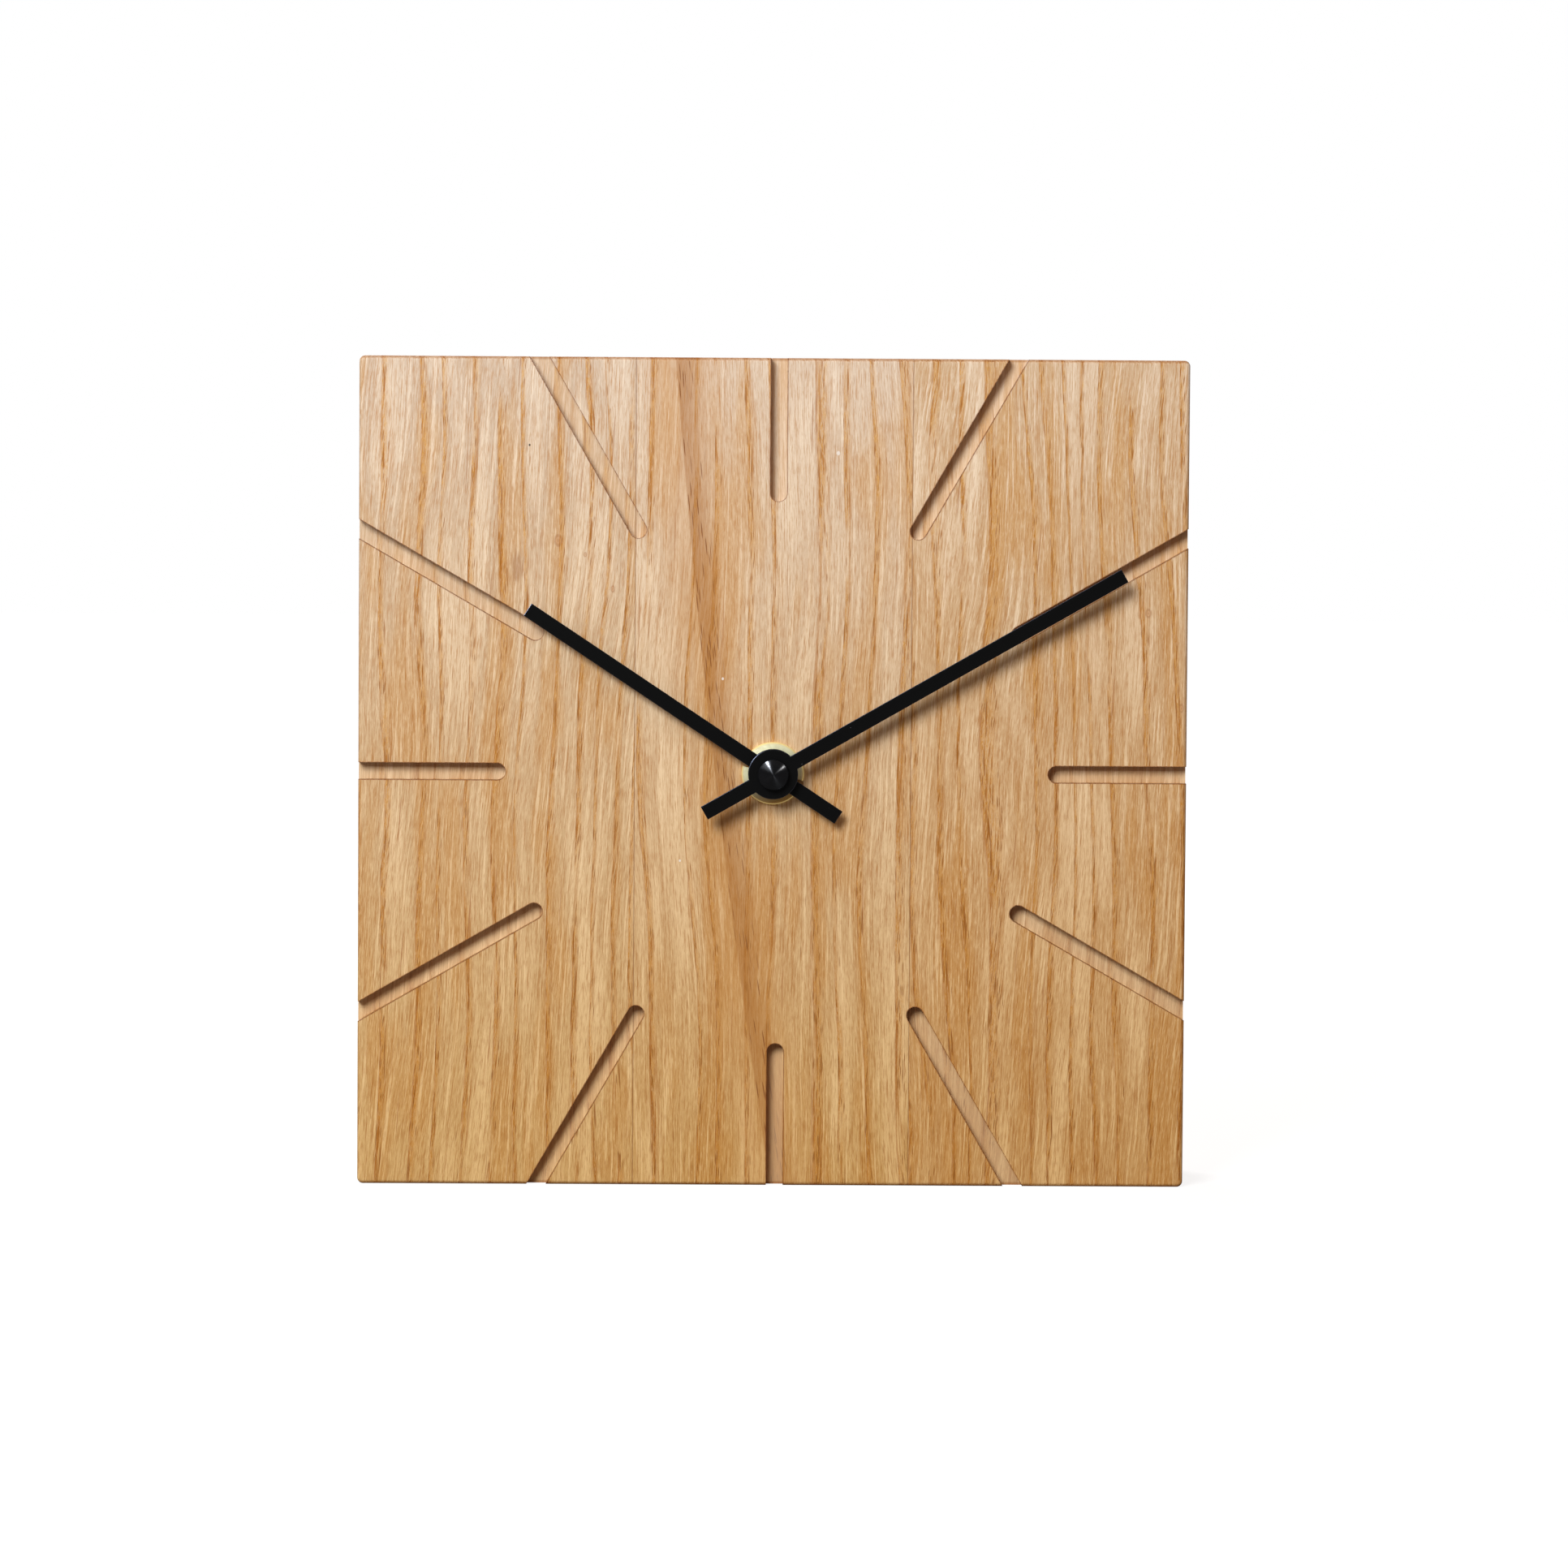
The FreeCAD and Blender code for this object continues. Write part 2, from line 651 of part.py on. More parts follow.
def cut_grooves(block):
    """Twelve straight grooves with a round inner end, which run out over the block's edges."""
    depth = "face_y + groove_depth"
    sketch = new_sketch(block, "XZ_Plane", {"x": "star_offset", "y": "axis_z", "z": f"-({depth})"})
    half = "groove_width / 2"
    round_centre = "groove_tip_radius + groove_width / 2"
    far_end = "block_width"
    u, v, w = number_of(half), number_of(round_centre), number_of(far_end)
    corners = [FreeCAD.Vector(*place, 0) for place in ((-u, v), (-u, w), (u, w), (u, v))]
    sides = [sketch.addGeometry(Part.LineSegment(a, b), False) for a, b in zip(corners, corners[1:])]
    circle = Part.Circle(FreeCAD.Vector(0, v, 0), FreeCAD.Vector(0, 0, 1), u)
    end = sketch.addGeometry(Part.ArcOfCircle(circle, math.pi, 2 * math.pi), False)
    for first, second in zip(sides, sides[1:]):
        sketch.addConstraint(Sketcher.Constraint("Coincident", first, 2, second, 1))
    sketch.addConstraint(Sketcher.Constraint("Coincident", end, 1, sides[0], 1))
    sketch.addConstraint(Sketcher.Constraint("Coincident", end, 2, sides[-1], 2))
    pin_point(sketch, end, 3, ("0", round_centre))
    hold(sketch, "DistanceY", end, 1, round_centre)
    hold(sketch, "DistanceY", end, 2, round_centre)
    hold(sketch, "DistanceY", sides[0], 2, far_end)
    hold(sketch, "DistanceY", sides[2], 1, far_end)
    for side in (sides[0], sides[2]):
        sketch.addConstraint(Sketcher.Constraint("Vertical", side))
    index = sketch.addConstraint(Sketcher.Constraint("Radius", end, u))
    sketch.setExpression(f"Constraints[{index}]", bind(half))
    before = block.Shape.Volume
    groove = block.newObject("PartDesign::Pocket", "groove")
    groove.Profile = (sketch, [""])
    groove.Reversed = True
    groove.setExpression("Length", bind("groove_depth + overrun"))
    doc.recompute()
    pattern = repeat(block, groove, sketch, "groove_count")
    if not pattern.Shape.Volume < groove.Shape.Volume < before:
        raise RuntimeError("the grooves cut nothing")


def cut_recess(block):
    """The square recess for the movement, and the shaft hole through the web in front of it."""
    low, high = "case_bottom_z - pocket_clearance", "case_top_z + pocket_clearance"
    recess = cut(block, [rectangle("-half_pocket", "half_pocket", low, high)], "floor_y", "back_y + overrun")
    limit = number_of("half_pocket + case_wall")

    def recess_corner(edge):
        long_enough = edge.Length > number_of("groove_depth")
        return along_depth(edge) and abs(edge.BoundBox.XMax) < limit and long_enough
    ease("Fillet", block, recess, edge_names(recess, recess_corner), "pocket_corner")
    hole = ("bush_diameter / 2 + shaft_hole_clearance", ("0", "axis_z"))
    cut(block, [hole], "face_y - overrun", "floor_y")


def make_stave(label, block, left, right):
    """One stave: the part of the block between two upright glue lines."""
    slab = doc.addObject("Part::Box", label + "_slab")
    slab.setExpression("Length", bind(f"({right}) - ({left})"))
    slab.setExpression("Width", bind("block_depth + 2 * overrun"))
    slab.setExpression("Height", bind("block_height + 2 * overrun"))
    slab.setExpression("Placement.Base.x", bind(left))
    slab.setExpression("Placement.Base.y", bind("face_y - overrun"))
    slab.setExpression("Placement.Base.z", bind("-overrun"))
    stave = doc.addObject("Part::Common", label)
    stave.Label = label
    stave.Base = block
    stave.Tool = slab
    return stave


# Fastening of the movement

def make_gasket():
    gasket = new_body("rubber_gasket")
    hole = ("bush_diameter / 2 + shaft_hole_clearance", ("0", "axis_z"))
    add(gasket, [("gasket_diameter / 2", ("0", "axis_z")), hole], "floor_y", "case_y")
    return gasket


def make_bush():
    """A brass bush: the hour pipe turns in it, and its flange bears on the case from inside."""
    bush = new_body("threaded_bush")
    bore = "pipe_radius + running_clearance"
    points = [
        (bore, "bush_front_y"),
        ("bush_diameter / 2 - thread_clearance", "bush_front_y"),
        ("bush_diameter / 2", "bush_front_y + thread_clearance"),
        ("bush_diameter / 2", "inner_y"),
        ("bush_flange_diameter / 2", "inner_y"),
        ("bush_flange_diameter / 2", "inner_y + bush_flange_thickness"),
        (bore, "inner_y + bush_flange_thickness"),
    ]
    revolve(bush, points)
    place(bush, "0", "axis_z")
    return bush


def make_nut():
    """The round nut on the face, dished at the middle, with two slots for a spanner."""
    nut = new_body("slotted_nut")
    front = "face_y - nut_thickness"
    points = [
        ("bush_diameter / 2 + thread_clearance", f"{front} + nut_dish_depth"),
        ("nut_land_diameter / 2", f"{front} + nut_dish_depth"),
        ("nut_land_diameter / 2 + nut_dish_depth", front),
        ("nut_diameter / 2 - nut_bevel", front),
        ("nut_diameter / 2", f"{front} + nut_bevel"),
        ("nut_diameter / 2", "face_y"),
        ("bush_diameter / 2 + thread_clearance", "face_y"),
    ]
    revolve(nut, points)
    inner = "nut_diameter / 2 - nut_slot_depth"
    slot = rectangle(inner, "nut_diameter / 2 + overrun", "-nut_slot_width / 2", "nut_slot_width / 2")
    pocket = cut(nut, [slot], f"{front} - overrun", "face_y")
    repeat(nut, pocket, pocket.Profile[0], "nut_slot_count")
    place(nut, "0", "axis_z")
    turn(nut, "nut_turn")
    return nut


# Hands

def make_hand(name, hole_radius):
    """A flat bar hand with a round hub, bevelled in front, and a collar behind it."""
    hand = new_body(name + "_hand")
    sheet_y, front_y = name + "_sheet_y", name + "_front_y"
    half = name + "_hand_width / 2"
    bar = rectangle("-" + half, half, f"-{name}_hand_tail", f"{name}_hand_reach")
    add(hand, [("hub_diameter / 2",)], front_y, sheet_y)
    blade = add(hand, [bar], front_y, sheet_y)
    ease("Chamfer", hand, blade, edge_names(blade, at_level(front_y)), "hand_edge")
    add(hand, [("collar_diameter / 2",)], sheet_y, f"{sheet_y} + {name}_collar_length")
    cut(hand, [(hole_radius,)], f"{front_y} - overrun", f"{sheet_y} + {name}_collar_length")
    place(hand, "0", "axis_z")
    turn(hand, name + "_hand_turn")
    return hand


def make_cap_nut():
    """The black nut that holds the minute hand: a knurled rim under a low cone."""
    cap = new_body("cap_nut")
    bore = "arbor_tip_diameter / 2 + thread_clearance / 2"
    points = [
        (bore, "minute_front_y"),
        ("cap_diameter / 2", "minute_front_y"),
        ("cap_diameter / 2", "cap_rim_y"),
        ("0", "cap_rim_y - cap_cone_height"),
        ("0", "minute_front_y - arbor_tip_length - cap_tip_gap"),
        (bore, "minute_front_y - arbor_tip_length - cap_tip_gap"),
    ]
    revolve(cap, points)
    rim = "cap_diameter / 2"
    notch = [
        (f"{rim} - knurl_depth", "0"),
        (f"{rim} + knurl_depth", "-knurl_width"),
        (f"{rim} + knurl_depth", "knurl_width"),
    ]
    pocket = cut(cap, [notch], "cap_rim_y - overrun", "minute_front_y + overrun")
    repeat(cap, pocket, pocket.Profile[0], "knurl_count")
    place(cap, "0", "axis_z")
    return cap


# Movement case

def make_case():
    """The moulded case: a room for the wheels above an open bay for the dry cell."""
    case = new_body("movement_case")
    outer = rectangle("-half_case", "half_case", "case_bottom_z", "case_top_z")
    pad = add(case, [outer], "case_y", "case_back_y")
    ease("Fillet", case, pad, edge_names(pad, along_depth), "case_corner")
    bay = rectangle("-half_room", "half_room", "bay_bottom_z", "bay_top_z")
    room = rectangle("-half_room", "half_room", "room_bottom_z", "room_top_z")
    cut(case, [bay, room], "inner_y", "case_back_y + overrun")
    side = "half_case + overrun"
    step = rectangle(f"-({side})", side, "bay_top_z", "case_top_z + overrun")
    cut(case, [step], "cover_y", "case_back_y + overrun")
    cut(case, [("bush_diameter / 2 + push_clearance", ("0", "axis_z"))], "case_y - overrun", "inner_y")
    cut_latches(case)
    cut_contact_slots(case)
    add_posts(case)
    return case


def latch_outline(side, inner, outer, gap="0"):
    """The outline of a latch in one side wall of the case, or of its notch with a gap round it."""
    half = f"(latch_width / 2 + {gap})"
    middle = "(axis_z + latch_rise)"
    return rectangle(f"{side}({inner})", f"{side}({outer})", f"{middle} - {half}", f"{middle} + {half}")


def cut_latches(case):
    for side in ("-", ""):
        notch = latch_outline(side, "half_room - overrun", "half_case + overrun", "latch_clearance")
        cut(case, [notch], "cover_y - latch_length - latch_clearance", "cover_y + overrun")


def cut_contact_slots(case):
    """Slots in the wall between bay and room, where the contact strips pass."""
    for side in ("-", ""):
        strip = rectangle(f"{side}(half_room - 2 * contact_thickness)", f"{side}half_room",
                          "bay_top_z - contact_thickness", "room_bottom_z + contact_thickness")
        cut(case, [strip], "contact_y - push_clearance", "cover_y + overrun")


def add_posts(case):
    """Posts that carry the train plate, pins through it, and two pivot bosses."""
    tall = [("core_left", "core_z"), ("core_right", "core_z")]
    low = [("left_post_x", "low_post_z"), ("right_post_x", "low_post_z")]
    add(case, [("post_diameter / 2", spot) for spot in tall + low], "inner_y", "plate_y")
    add(case, [("pin_diameter / 2", spot) for spot in tall], "plate_y", "core_back_y + end_shake")
    add(case, [("pin_diameter / 2", spot) for spot in low], "plate_y", "plate_back_y + end_shake")
    bore = "pivot_radius + running_clearance"
    motion = ("motion_x", "motion_z")
    add(case, [("motion_boss_diameter / 2", motion), (bore, motion)], "inner_y", "motion_boss_y")
    setting = ("setting_x", "setting_z")
    add(case, [("setting_boss_diameter / 2", setting), (bore, setting)], "inner_y", "hour_wheel_y")


def make_cover():
    """The lid of the wheel room, with two latches and a bearing boss for each arbor."""
    cover = new_body("rear_cover")
    sheet_outline = rectangle("-half_case", "half_case", "bay_top_z + push_clearance", "case_top_z")
    pad = add(cover, [sheet_outline], "cover_y", "case_back_y")

    def top_corner(edge):
        return along_depth(edge) and edge.BoundBox.ZMin > number_of("axis_z")
    ease("Fillet", cover, pad, edge_names(pad, top_corner), "case_corner")
    latches = [latch_outline(side, "half_room", "half_case") for side in ("-", "")]
    add(cover, latches, "cover_y - latch_length", "cover_y")
    bearings = [("0", "axis_z")]
    bearings += [(f"{name}_x", f"{name}_z") for name in ("third", "seconds", "fifth", "rotor")]
    add(cover, [("cover_boss_diameter / 2", spot) for spot in bearings], "cover_boss_y", "cover_y")
    bore = "pivot_radius + running_clearance"
    cut(cover, [(bore, spot) for spot in bearings], "cover_boss_y - overrun", "cover_y")
    knob_hole = ("setting_radius + running_clearance", ("setting_x", "setting_z"))
    cut(cover, [knob_hole], "cover_boss_y - overrun", "case_back_y + overrun")
    return cover


def make_train_plate():
    """The plate between motion work and going train, with a window for the coil and two board posts."""
    plate = new_body("train_plate")
    outline = [
        ("plate_left", "plate_bottom_z"),
        ("plate_right", "plate_bottom_z"),
        ("plate_right", "plate_top_z"),
        ("window_right_x", "plate_top_z"),
        ("window_right_x", "window_bottom_z"),
        ("window_left_x", "window_bottom_z"),
        ("window_left_x", "plate_top_z"),
        ("plate_left", "plate_top_z"),
    ]
    pins = [("core_left", "core_z"), ("core_right", "core_z")]
    pins += [("left_post_x", "low_post_z"), ("right_post_x", "low_post_z")]
    bearings = [(f"{name}_x", f"{name}_z") for name in ("third", "seconds", "fifth", "rotor", "motion")]
    holes = [("pin_diameter / 2 + pin_clearance", spot) for spot in pins]
    holes += [("pivot_radius + running_clearance", spot) for spot in bearings]
    holes.append(("setting_radius + running_clearance", ("setting_x", "setting_z")))
    holes.append(("arbor_radius + wheel_gap", ("0", "axis_z")))
    add(plate, [outline] + holes, "plate_y", "plate_back_y")
    board_posts = [(f"board_{side}_post_x", "board_middle_z") for side in ("left", "right")]
    add(plate, [("pin_diameter / 2", spot) for spot in board_posts], "plate_back_y", "board_y")
    return plate


# Motion work

def make_minute_arbor(cannon_phase):
    """The arbor of the minute hand, in one piece with its cannon pinion and clutch flange."""
    turned = new_body("minute_arbor_turning")
    tip, rear = "arbor_tip_diameter / 2", "rear_arbor_diameter / 2"
    flange, seat = "clutch_flange_diameter / 2", "clutch_seat_diameter / 2"
    root = "motion_module * (cannon_teeth / 2 - dedendum_share)"
    rear_shoulder = "cover_boss_y - end_shake"
    points = [
        ("0", "minute_front_y - arbor_tip_length"),
        (tip, "minute_front_y - arbor_tip_length"),
        (tip, "shoulder_y"),
        ("arbor_radius", "shoulder_y"),
        ("arbor_radius", "cannon_y"),
        (root, "cannon_y"),
        (root, "cannon_back_y"),
        ("arbor_radius", "cannon_back_y"),
        ("arbor_radius", "clutch_y"),
        (flange, "clutch_y"),
        (flange, "clutch_seat_y"),
        (seat, "clutch_seat_y"),
        (seat, "clutch_seat_back_y"),
        (rear, "clutch_seat_back_y"),
        (rear, rear_shoulder),
        ("pivot_radius", rear_shoulder),
        ("pivot_radius", f"{rear_shoulder} + pivot_length"),
        ("0", f"{rear_shoulder} + pivot_length"),
    ]
    revolve(turned, points)
    pinion = toothed_disc("cannon_pinion_teeth", "cannon_teeth", "motion_module",
                          "cannon_y", "cannon_back_y", cannon_phase)
    for item in (turned, pinion):
        place(item, "0", "axis_z")
    return fuse("minute_arbor", [turned, pinion])


def make_clutch_spring():
    """The spring washer that presses the centre wheel on the arbor's flange, so it can slip."""
    spring = new_body("clutch_spring")
    front = "centre_wheel_back_y + end_shake / 2"
    points = [
        ("clutch_seat_diameter / 2 + push_clearance", front),
        ("clutch_spring_diameter / 2", front),
        ("clutch_spring_diameter / 2", "clutch_seat_back_y"),
        ("clutch_seat_diameter / 2 + push_clearance", "clutch_seat_back_y"),
    ]
    revolve(spring, points)
    place(spring, "0", "axis_z")
    return spring


def make_hour_wheel(phase):
    """The hour wheel and its pipe, which turns in the bush and carries the hour hand."""
    bore = "arbor_radius + running_clearance"
    middle = "(pipe_radius + arbor_radius) / 2"
    disc = toothed_disc("hour_wheel_teeth", "hour_teeth", "hour_module",
                        "hour_wheel_y", "hour_wheel_back_y", phase, middle)
    pipe = new_body("hour_pipe")
    points = [
        (bore, "pipe_front_y"),
        ("pipe_radius", "pipe_front_y"),
        ("pipe_radius", "hour_wheel_back_y"),
        (bore, "hour_wheel_back_y"),
    ]
    revolve(pipe, points)
    for item in (disc, pipe):
        place(item, "0", "axis_z")
    return fuse("hour_wheel", [disc, pipe])


def make_motion_wheel(wheel_phase, pinion_phase):
    """The wheel between cannon pinion and hour wheel, with its own pinion."""
    wheel = toothed_disc("motion_wheel_teeth", "motion_teeth", "motion_module",
                         "motion_wheel_y", "motion_wheel_back_y", wheel_phase)
    pinion = toothed_disc("motion_pinion_leaves", "motion_pinion_teeth", "hour_module",
                          "hour_wheel_y - tooth_lap", "motion_wheel_y", pinion_phase)
    arbor = train_arbor("motion_arbor", "(motion_boss_y + end_shake)", "(plate_y - end_shake)",
                        "motion_x", "motion_z")
    for item in (wheel, pinion):
        place(item, "motion_x", "motion_z")
    return fuse("motion_wheel", [wheel, pinion, arbor])


def make_setting_arbor(phase):
    """The arbor of the setting knob, with the pinion that drives the motion wheel."""
    pinion = toothed_disc("setting_pinion_leaves", "setting_teeth", "motion_module",
                          "cannon_y", "cannon_back_y", phase)
    arbor = new_body("setting_turning")
    front = "(hour_wheel_y + end_shake)"
    back = "case_back_y + knob_gap + knob_height / 2"
    points = [
        ("0", f"{front} - pivot_length"),
        ("pivot_radius", f"{front} - pivot_length"),
        ("pivot_radius", front),
        ("setting_radius", front),
        ("setting_radius", back),
        ("0", back),
    ]
    revolve(arbor, points)
    for item in (arbor, pinion):
        place(item, "setting_x", "setting_z")
    return fuse("setting_arbor", [arbor, pinion])


def make_setting_knob():
    """The ribbed knob at the back, pressed on the end of its arbor."""
    knob = new_body("setting_knob")
    front = "case_back_y + knob_gap"
    bore = "setting_radius + push_clearance"
    bottom = f"{front} + knob_height / 2"
    rim, top = "knob_diameter / 2", f"{front} + knob_height"
    points = [
        (bore, front),
        (rim, front),
        (rim, f"{top} - knob_rib_depth"),
        (f"{rim} - knob_rib_depth", top),
        ("0", top),
        ("0", bottom),
        (bore, bottom),
    ]
    revolve(knob, points)
    notch = [
        (f"{rim} - knob_rib_depth", "0"),
        (f"{rim} + knob_rib_depth", "-knob_rib_width"),
        (f"{rim} + knob_rib_depth", "knob_rib_width"),
    ]
    pocket = cut(knob, [notch], f"{front} - overrun", f"{top} + overrun")
    repeat(knob, pocket, pocket.Profile[0], "knob_rib_count")
    place(knob, "setting_x", "setting_z")
    return knob


# Going train

def make_train_wheel(name, next_level, wheel_phase, pinion_level):
    """A wheel with a pinion in front of it, on an arbor between train plate and cover."""
    x, z = f"{name}_x", f"{name}_z"
    level = f"{name}_wheel_y"
    wheel = toothed_disc(name + "_teeth_ring", name + "_teeth", "train_module",
                         level, f"{name}_wheel_back_y", wheel_phase)
    pinion = toothed_disc(name + "_pinion_leaves", "pinion_teeth", "train_module",
                          f"{pinion_level} - tooth_lap", level, 0)
    arbor = train_arbor(name + "_arbor", "(plate_back_y + end_shake)", "(cover_boss_y - end_shake)", x, z)
    for item in (wheel, pinion):
        place(item, x, z)
    return fuse(name + "_wheel", [wheel, pinion, arbor])


def make_centre_wheel(phase):
    """The wheel that turns once an hour, loose on the minute arbor but for its clutch."""
    bore = "clutch_seat_diameter / 2 + running_clearance"
    wheel = toothed_disc("centre_wheel", "centre_teeth", "train_module",
                         "centre_wheel_y", "centre_wheel_back_y", phase, bore)
    place(wheel, "0", "axis_z")
    return wheel


def make_rotor():
    """The rotor's arbor with its pinion, and the disc magnet on it."""
    pinion = toothed_disc("rotor_leaves", "pinion_teeth", "train_module",
                          "fifth_wheel_y - tooth_lap", "fifth_wheel_back_y + tooth_lap", 0)
    arbor = train_arbor("rotor_turning", "(plate_back_y + end_shake)", "(cover_boss_y - end_shake)",
                        "rotor_x", "rotor_z")
    place(pinion, "rotor_x", "rotor_z")
    magnet = new_body("rotor_magnet")
    bore = "train_arbor_diameter / 2 + push_clearance"
    points = [
        (bore, "magnet_y"),
        ("magnet_radius", "magnet_y"),
        ("magnet_radius", "magnet_back_y"),
        (bore, "magnet_back_y"),
    ]
    revolve(magnet, points)
    place(magnet, "rotor_x", "rotor_z")
    return fuse("rotor_pinion", [arbor, pinion]), magnet


# Stepping motor

def make_stator():
    """The soft iron plate: a ring round the magnet and a leg to each end of the coil core."""
    stator = new_body("stator_plate")
    ring = ("stator_ring_radius", ("rotor_x", "rotor_z"))
    add(stator, [ring], "plate_back_y", "stator_back_y")
    half_bar = "stator_bar_width / 2"
    leg = [
        ("core_left - half_foot", f"stator_bar_z - {half_bar}"),
        ("rotor_x", f"stator_bar_z - {half_bar}"),
        ("rotor_x", f"stator_bar_z + {half_bar}"),
        ("core_left + half_foot", f"stator_bar_z + {half_bar}"),
        ("core_left + half_foot", "core_z + half_foot"),
        ("core_left - half_foot", "core_z + half_foot"),
    ]
    add(stator, [leg], "plate_back_y", "stator_back_y")
    foot = rectangle("core_right - half_foot", "rotor_x", "core_z - half_foot", "core_z + half_foot / 2")
    add(stator, [foot], "plate_back_y", "stator_back_y")
    holes = [("pin_diameter / 2 + pin_clearance", (end, "core_z")) for end in ("core_left", "core_right")]
    holes.append(("stator_hole_radius", ("rotor_x", "rotor_z")))
    cut(stator, holes, "plate_back_y - overrun", "stator_back_y + overrun")
    return stator


def make_core():
    core = new_body("coil_core")
    left, right = "core_left - half_foot", "core_right + half_foot"
    bar = rectangle(left, right, "core_z - half_foot", "core_z + half_foot")
    holes = [("pin_diameter / 2 + pin_clearance", (end, "core_z")) for end in ("core_left", "core_right")]
    add(core, [bar] + holes, "stator_back_y", "core_back_y")
    waist = [
        rectangle("bobbin_left_x", "bobbin_right_x",
                  f"core_z {sign} core_waist_width / 2", f"core_z {sign} (half_foot + overrun)")
        for sign in ("+", "-")
    ]
    cut(core, waist, "stator_back_y - overrun", "core_back_y + overrun")
    return core


def spool(label, points):
    """A piece turned about the coil's own axis, drawn as (place along it, radius)."""
    piece = new_body(label)
    revolve(piece, points, "H_Axis")
    piece.setExpression("Placement.Base.y", bind("core_y"))
    piece.setExpression("Placement.Base.z", bind("core_z"))
    return piece


def make_bobbin():
    bore, tube, flange = "bobbin_bore_diameter / 2", "bobbin_tube_diameter / 2", "bobbin_flange_diameter / 2"
    left, right = "bobbin_left_x", "bobbin_right_x"
    inner_left, inner_right = f"{left} + bobbin_flange_thickness", f"{right} - bobbin_flange_thickness"
    points = [(left, bore), (left, flange), (inner_left, flange), (inner_left, tube)]
    points += [(inner_right, tube), (inner_right, flange), (right, flange), (right, bore)]
    return spool("coil_bobbin", points)


def make_winding():
    tube, outside = "bobbin_tube_diameter / 2 + push_clearance", "winding_diameter / 2"
    left = "bobbin_left_x + bobbin_flange_thickness + push_clearance"
    right = "bobbin_right_x - bobbin_flange_thickness - push_clearance"
    return spool("coil_winding", [(left, tube), (left, outside), (right, outside), (right, tube)])


# Electrics

def make_board():
    board = new_body("circuit_board")
    outline = rectangle("board_left", "board_right", "board_bottom_z", "board_top_z")
    add(board, [outline], "board_y", "board_back_y")
    return board


def make_chip():
    """The drop of resin that covers the clock chip."""
    chip = new_body("clock_chip")
    half = "chip_width / 2"
    low, high = f"board_middle_z - {half}", f"board_middle_z + {half}"
    outline = rectangle(f"chip_x - {half}", f"chip_x + {half}", low, high)
    pad = add(chip, [outline], "board_back_y", "board_back_y + chip_height")
    rounded = ease("Fillet", chip, pad, edge_names(pad, along_depth), "chip_corner")
    ease("Fillet", chip, rounded, edge_names(rounded, at_level("board_back_y + chip_height")), "chip_round")
    return chip


def make_crystal():
    """The quartz crystal in its small metal can, lying on the board."""
    can = doc.addObject("Part::Cylinder", "quartz_crystal")
    can.Label = "quartz_crystal"
    can.Placement.Rotation = FreeCAD.Rotation(FreeCAD.Vector(0, 1, 0), 90)
    can.setExpression("Radius", bind("crystal_diameter / 2"))
    can.setExpression("Height", bind("crystal_length"))
    can.setExpression("Placement.Base.x", bind("crystal_x"))
    can.setExpression("Placement.Base.y", bind("board_back_y + crystal_diameter / 2"))
    can.setExpression("Placement.Base.z", bind("crystal_z"))
    return can


def make_battery():
    """One dry cell, its nub to the left as the clock is read."""
    cell = new_body("battery_cell")
    radius, nub = "battery_diameter / 2", "battery_nub_diameter / 2"
    body_left = "battery_left_x + battery_nub_length"
    points = [
        ("battery_left_x", "0"),
        ("battery_left_x", nub),
        (body_left, nub),
        (body_left, f"{radius} - battery_crimp"),
        (f"{body_left} + battery_crimp / 2", radius),
        ("battery_right_x - battery_crimp / 2", radius),
        ("battery_right_x", f"{radius} - battery_crimp"),
        ("battery_right_x", "0"),
    ]
    revolve(cell, points, "H_Axis")
    cell.setExpression("Placement.Base.y", bind("battery_y"))
    cell.setExpression("Placement.Base.z", bind("battery_z"))
    return cell


def make_plus_contact():
    """The contact at the nub: a plate in the bay and a strip up to the board."""
    contact = new_body("plus_contact")
    wall, skin = "-half_room", "-half_room + contact_thickness"
    half = "contact_plate_width / 2"
    plate = rectangle(wall, skin, f"battery_z - {half}", f"battery_z + {half}")
    add(contact, [plate], f"battery_y - {half}", f"battery_y + {half}")
    strip = rectangle(wall, skin, "battery_z", "contact_top_z")
    add(contact, [strip], "contact_y", "contact_foot_y")
    foot = rectangle(wall, "board_left + contact_foot / 2", "board_bottom_z", "contact_top_z")
    add(contact, [foot], "board_back_y", "contact_foot_y")
    reach = "battery_nub_length"
    dimple = rectangle(wall, "battery_left_x", f"battery_z - {reach}", f"battery_z + {reach}")
    add(contact, [dimple], f"battery_y - {reach}", f"battery_y + {reach}")
    return contact


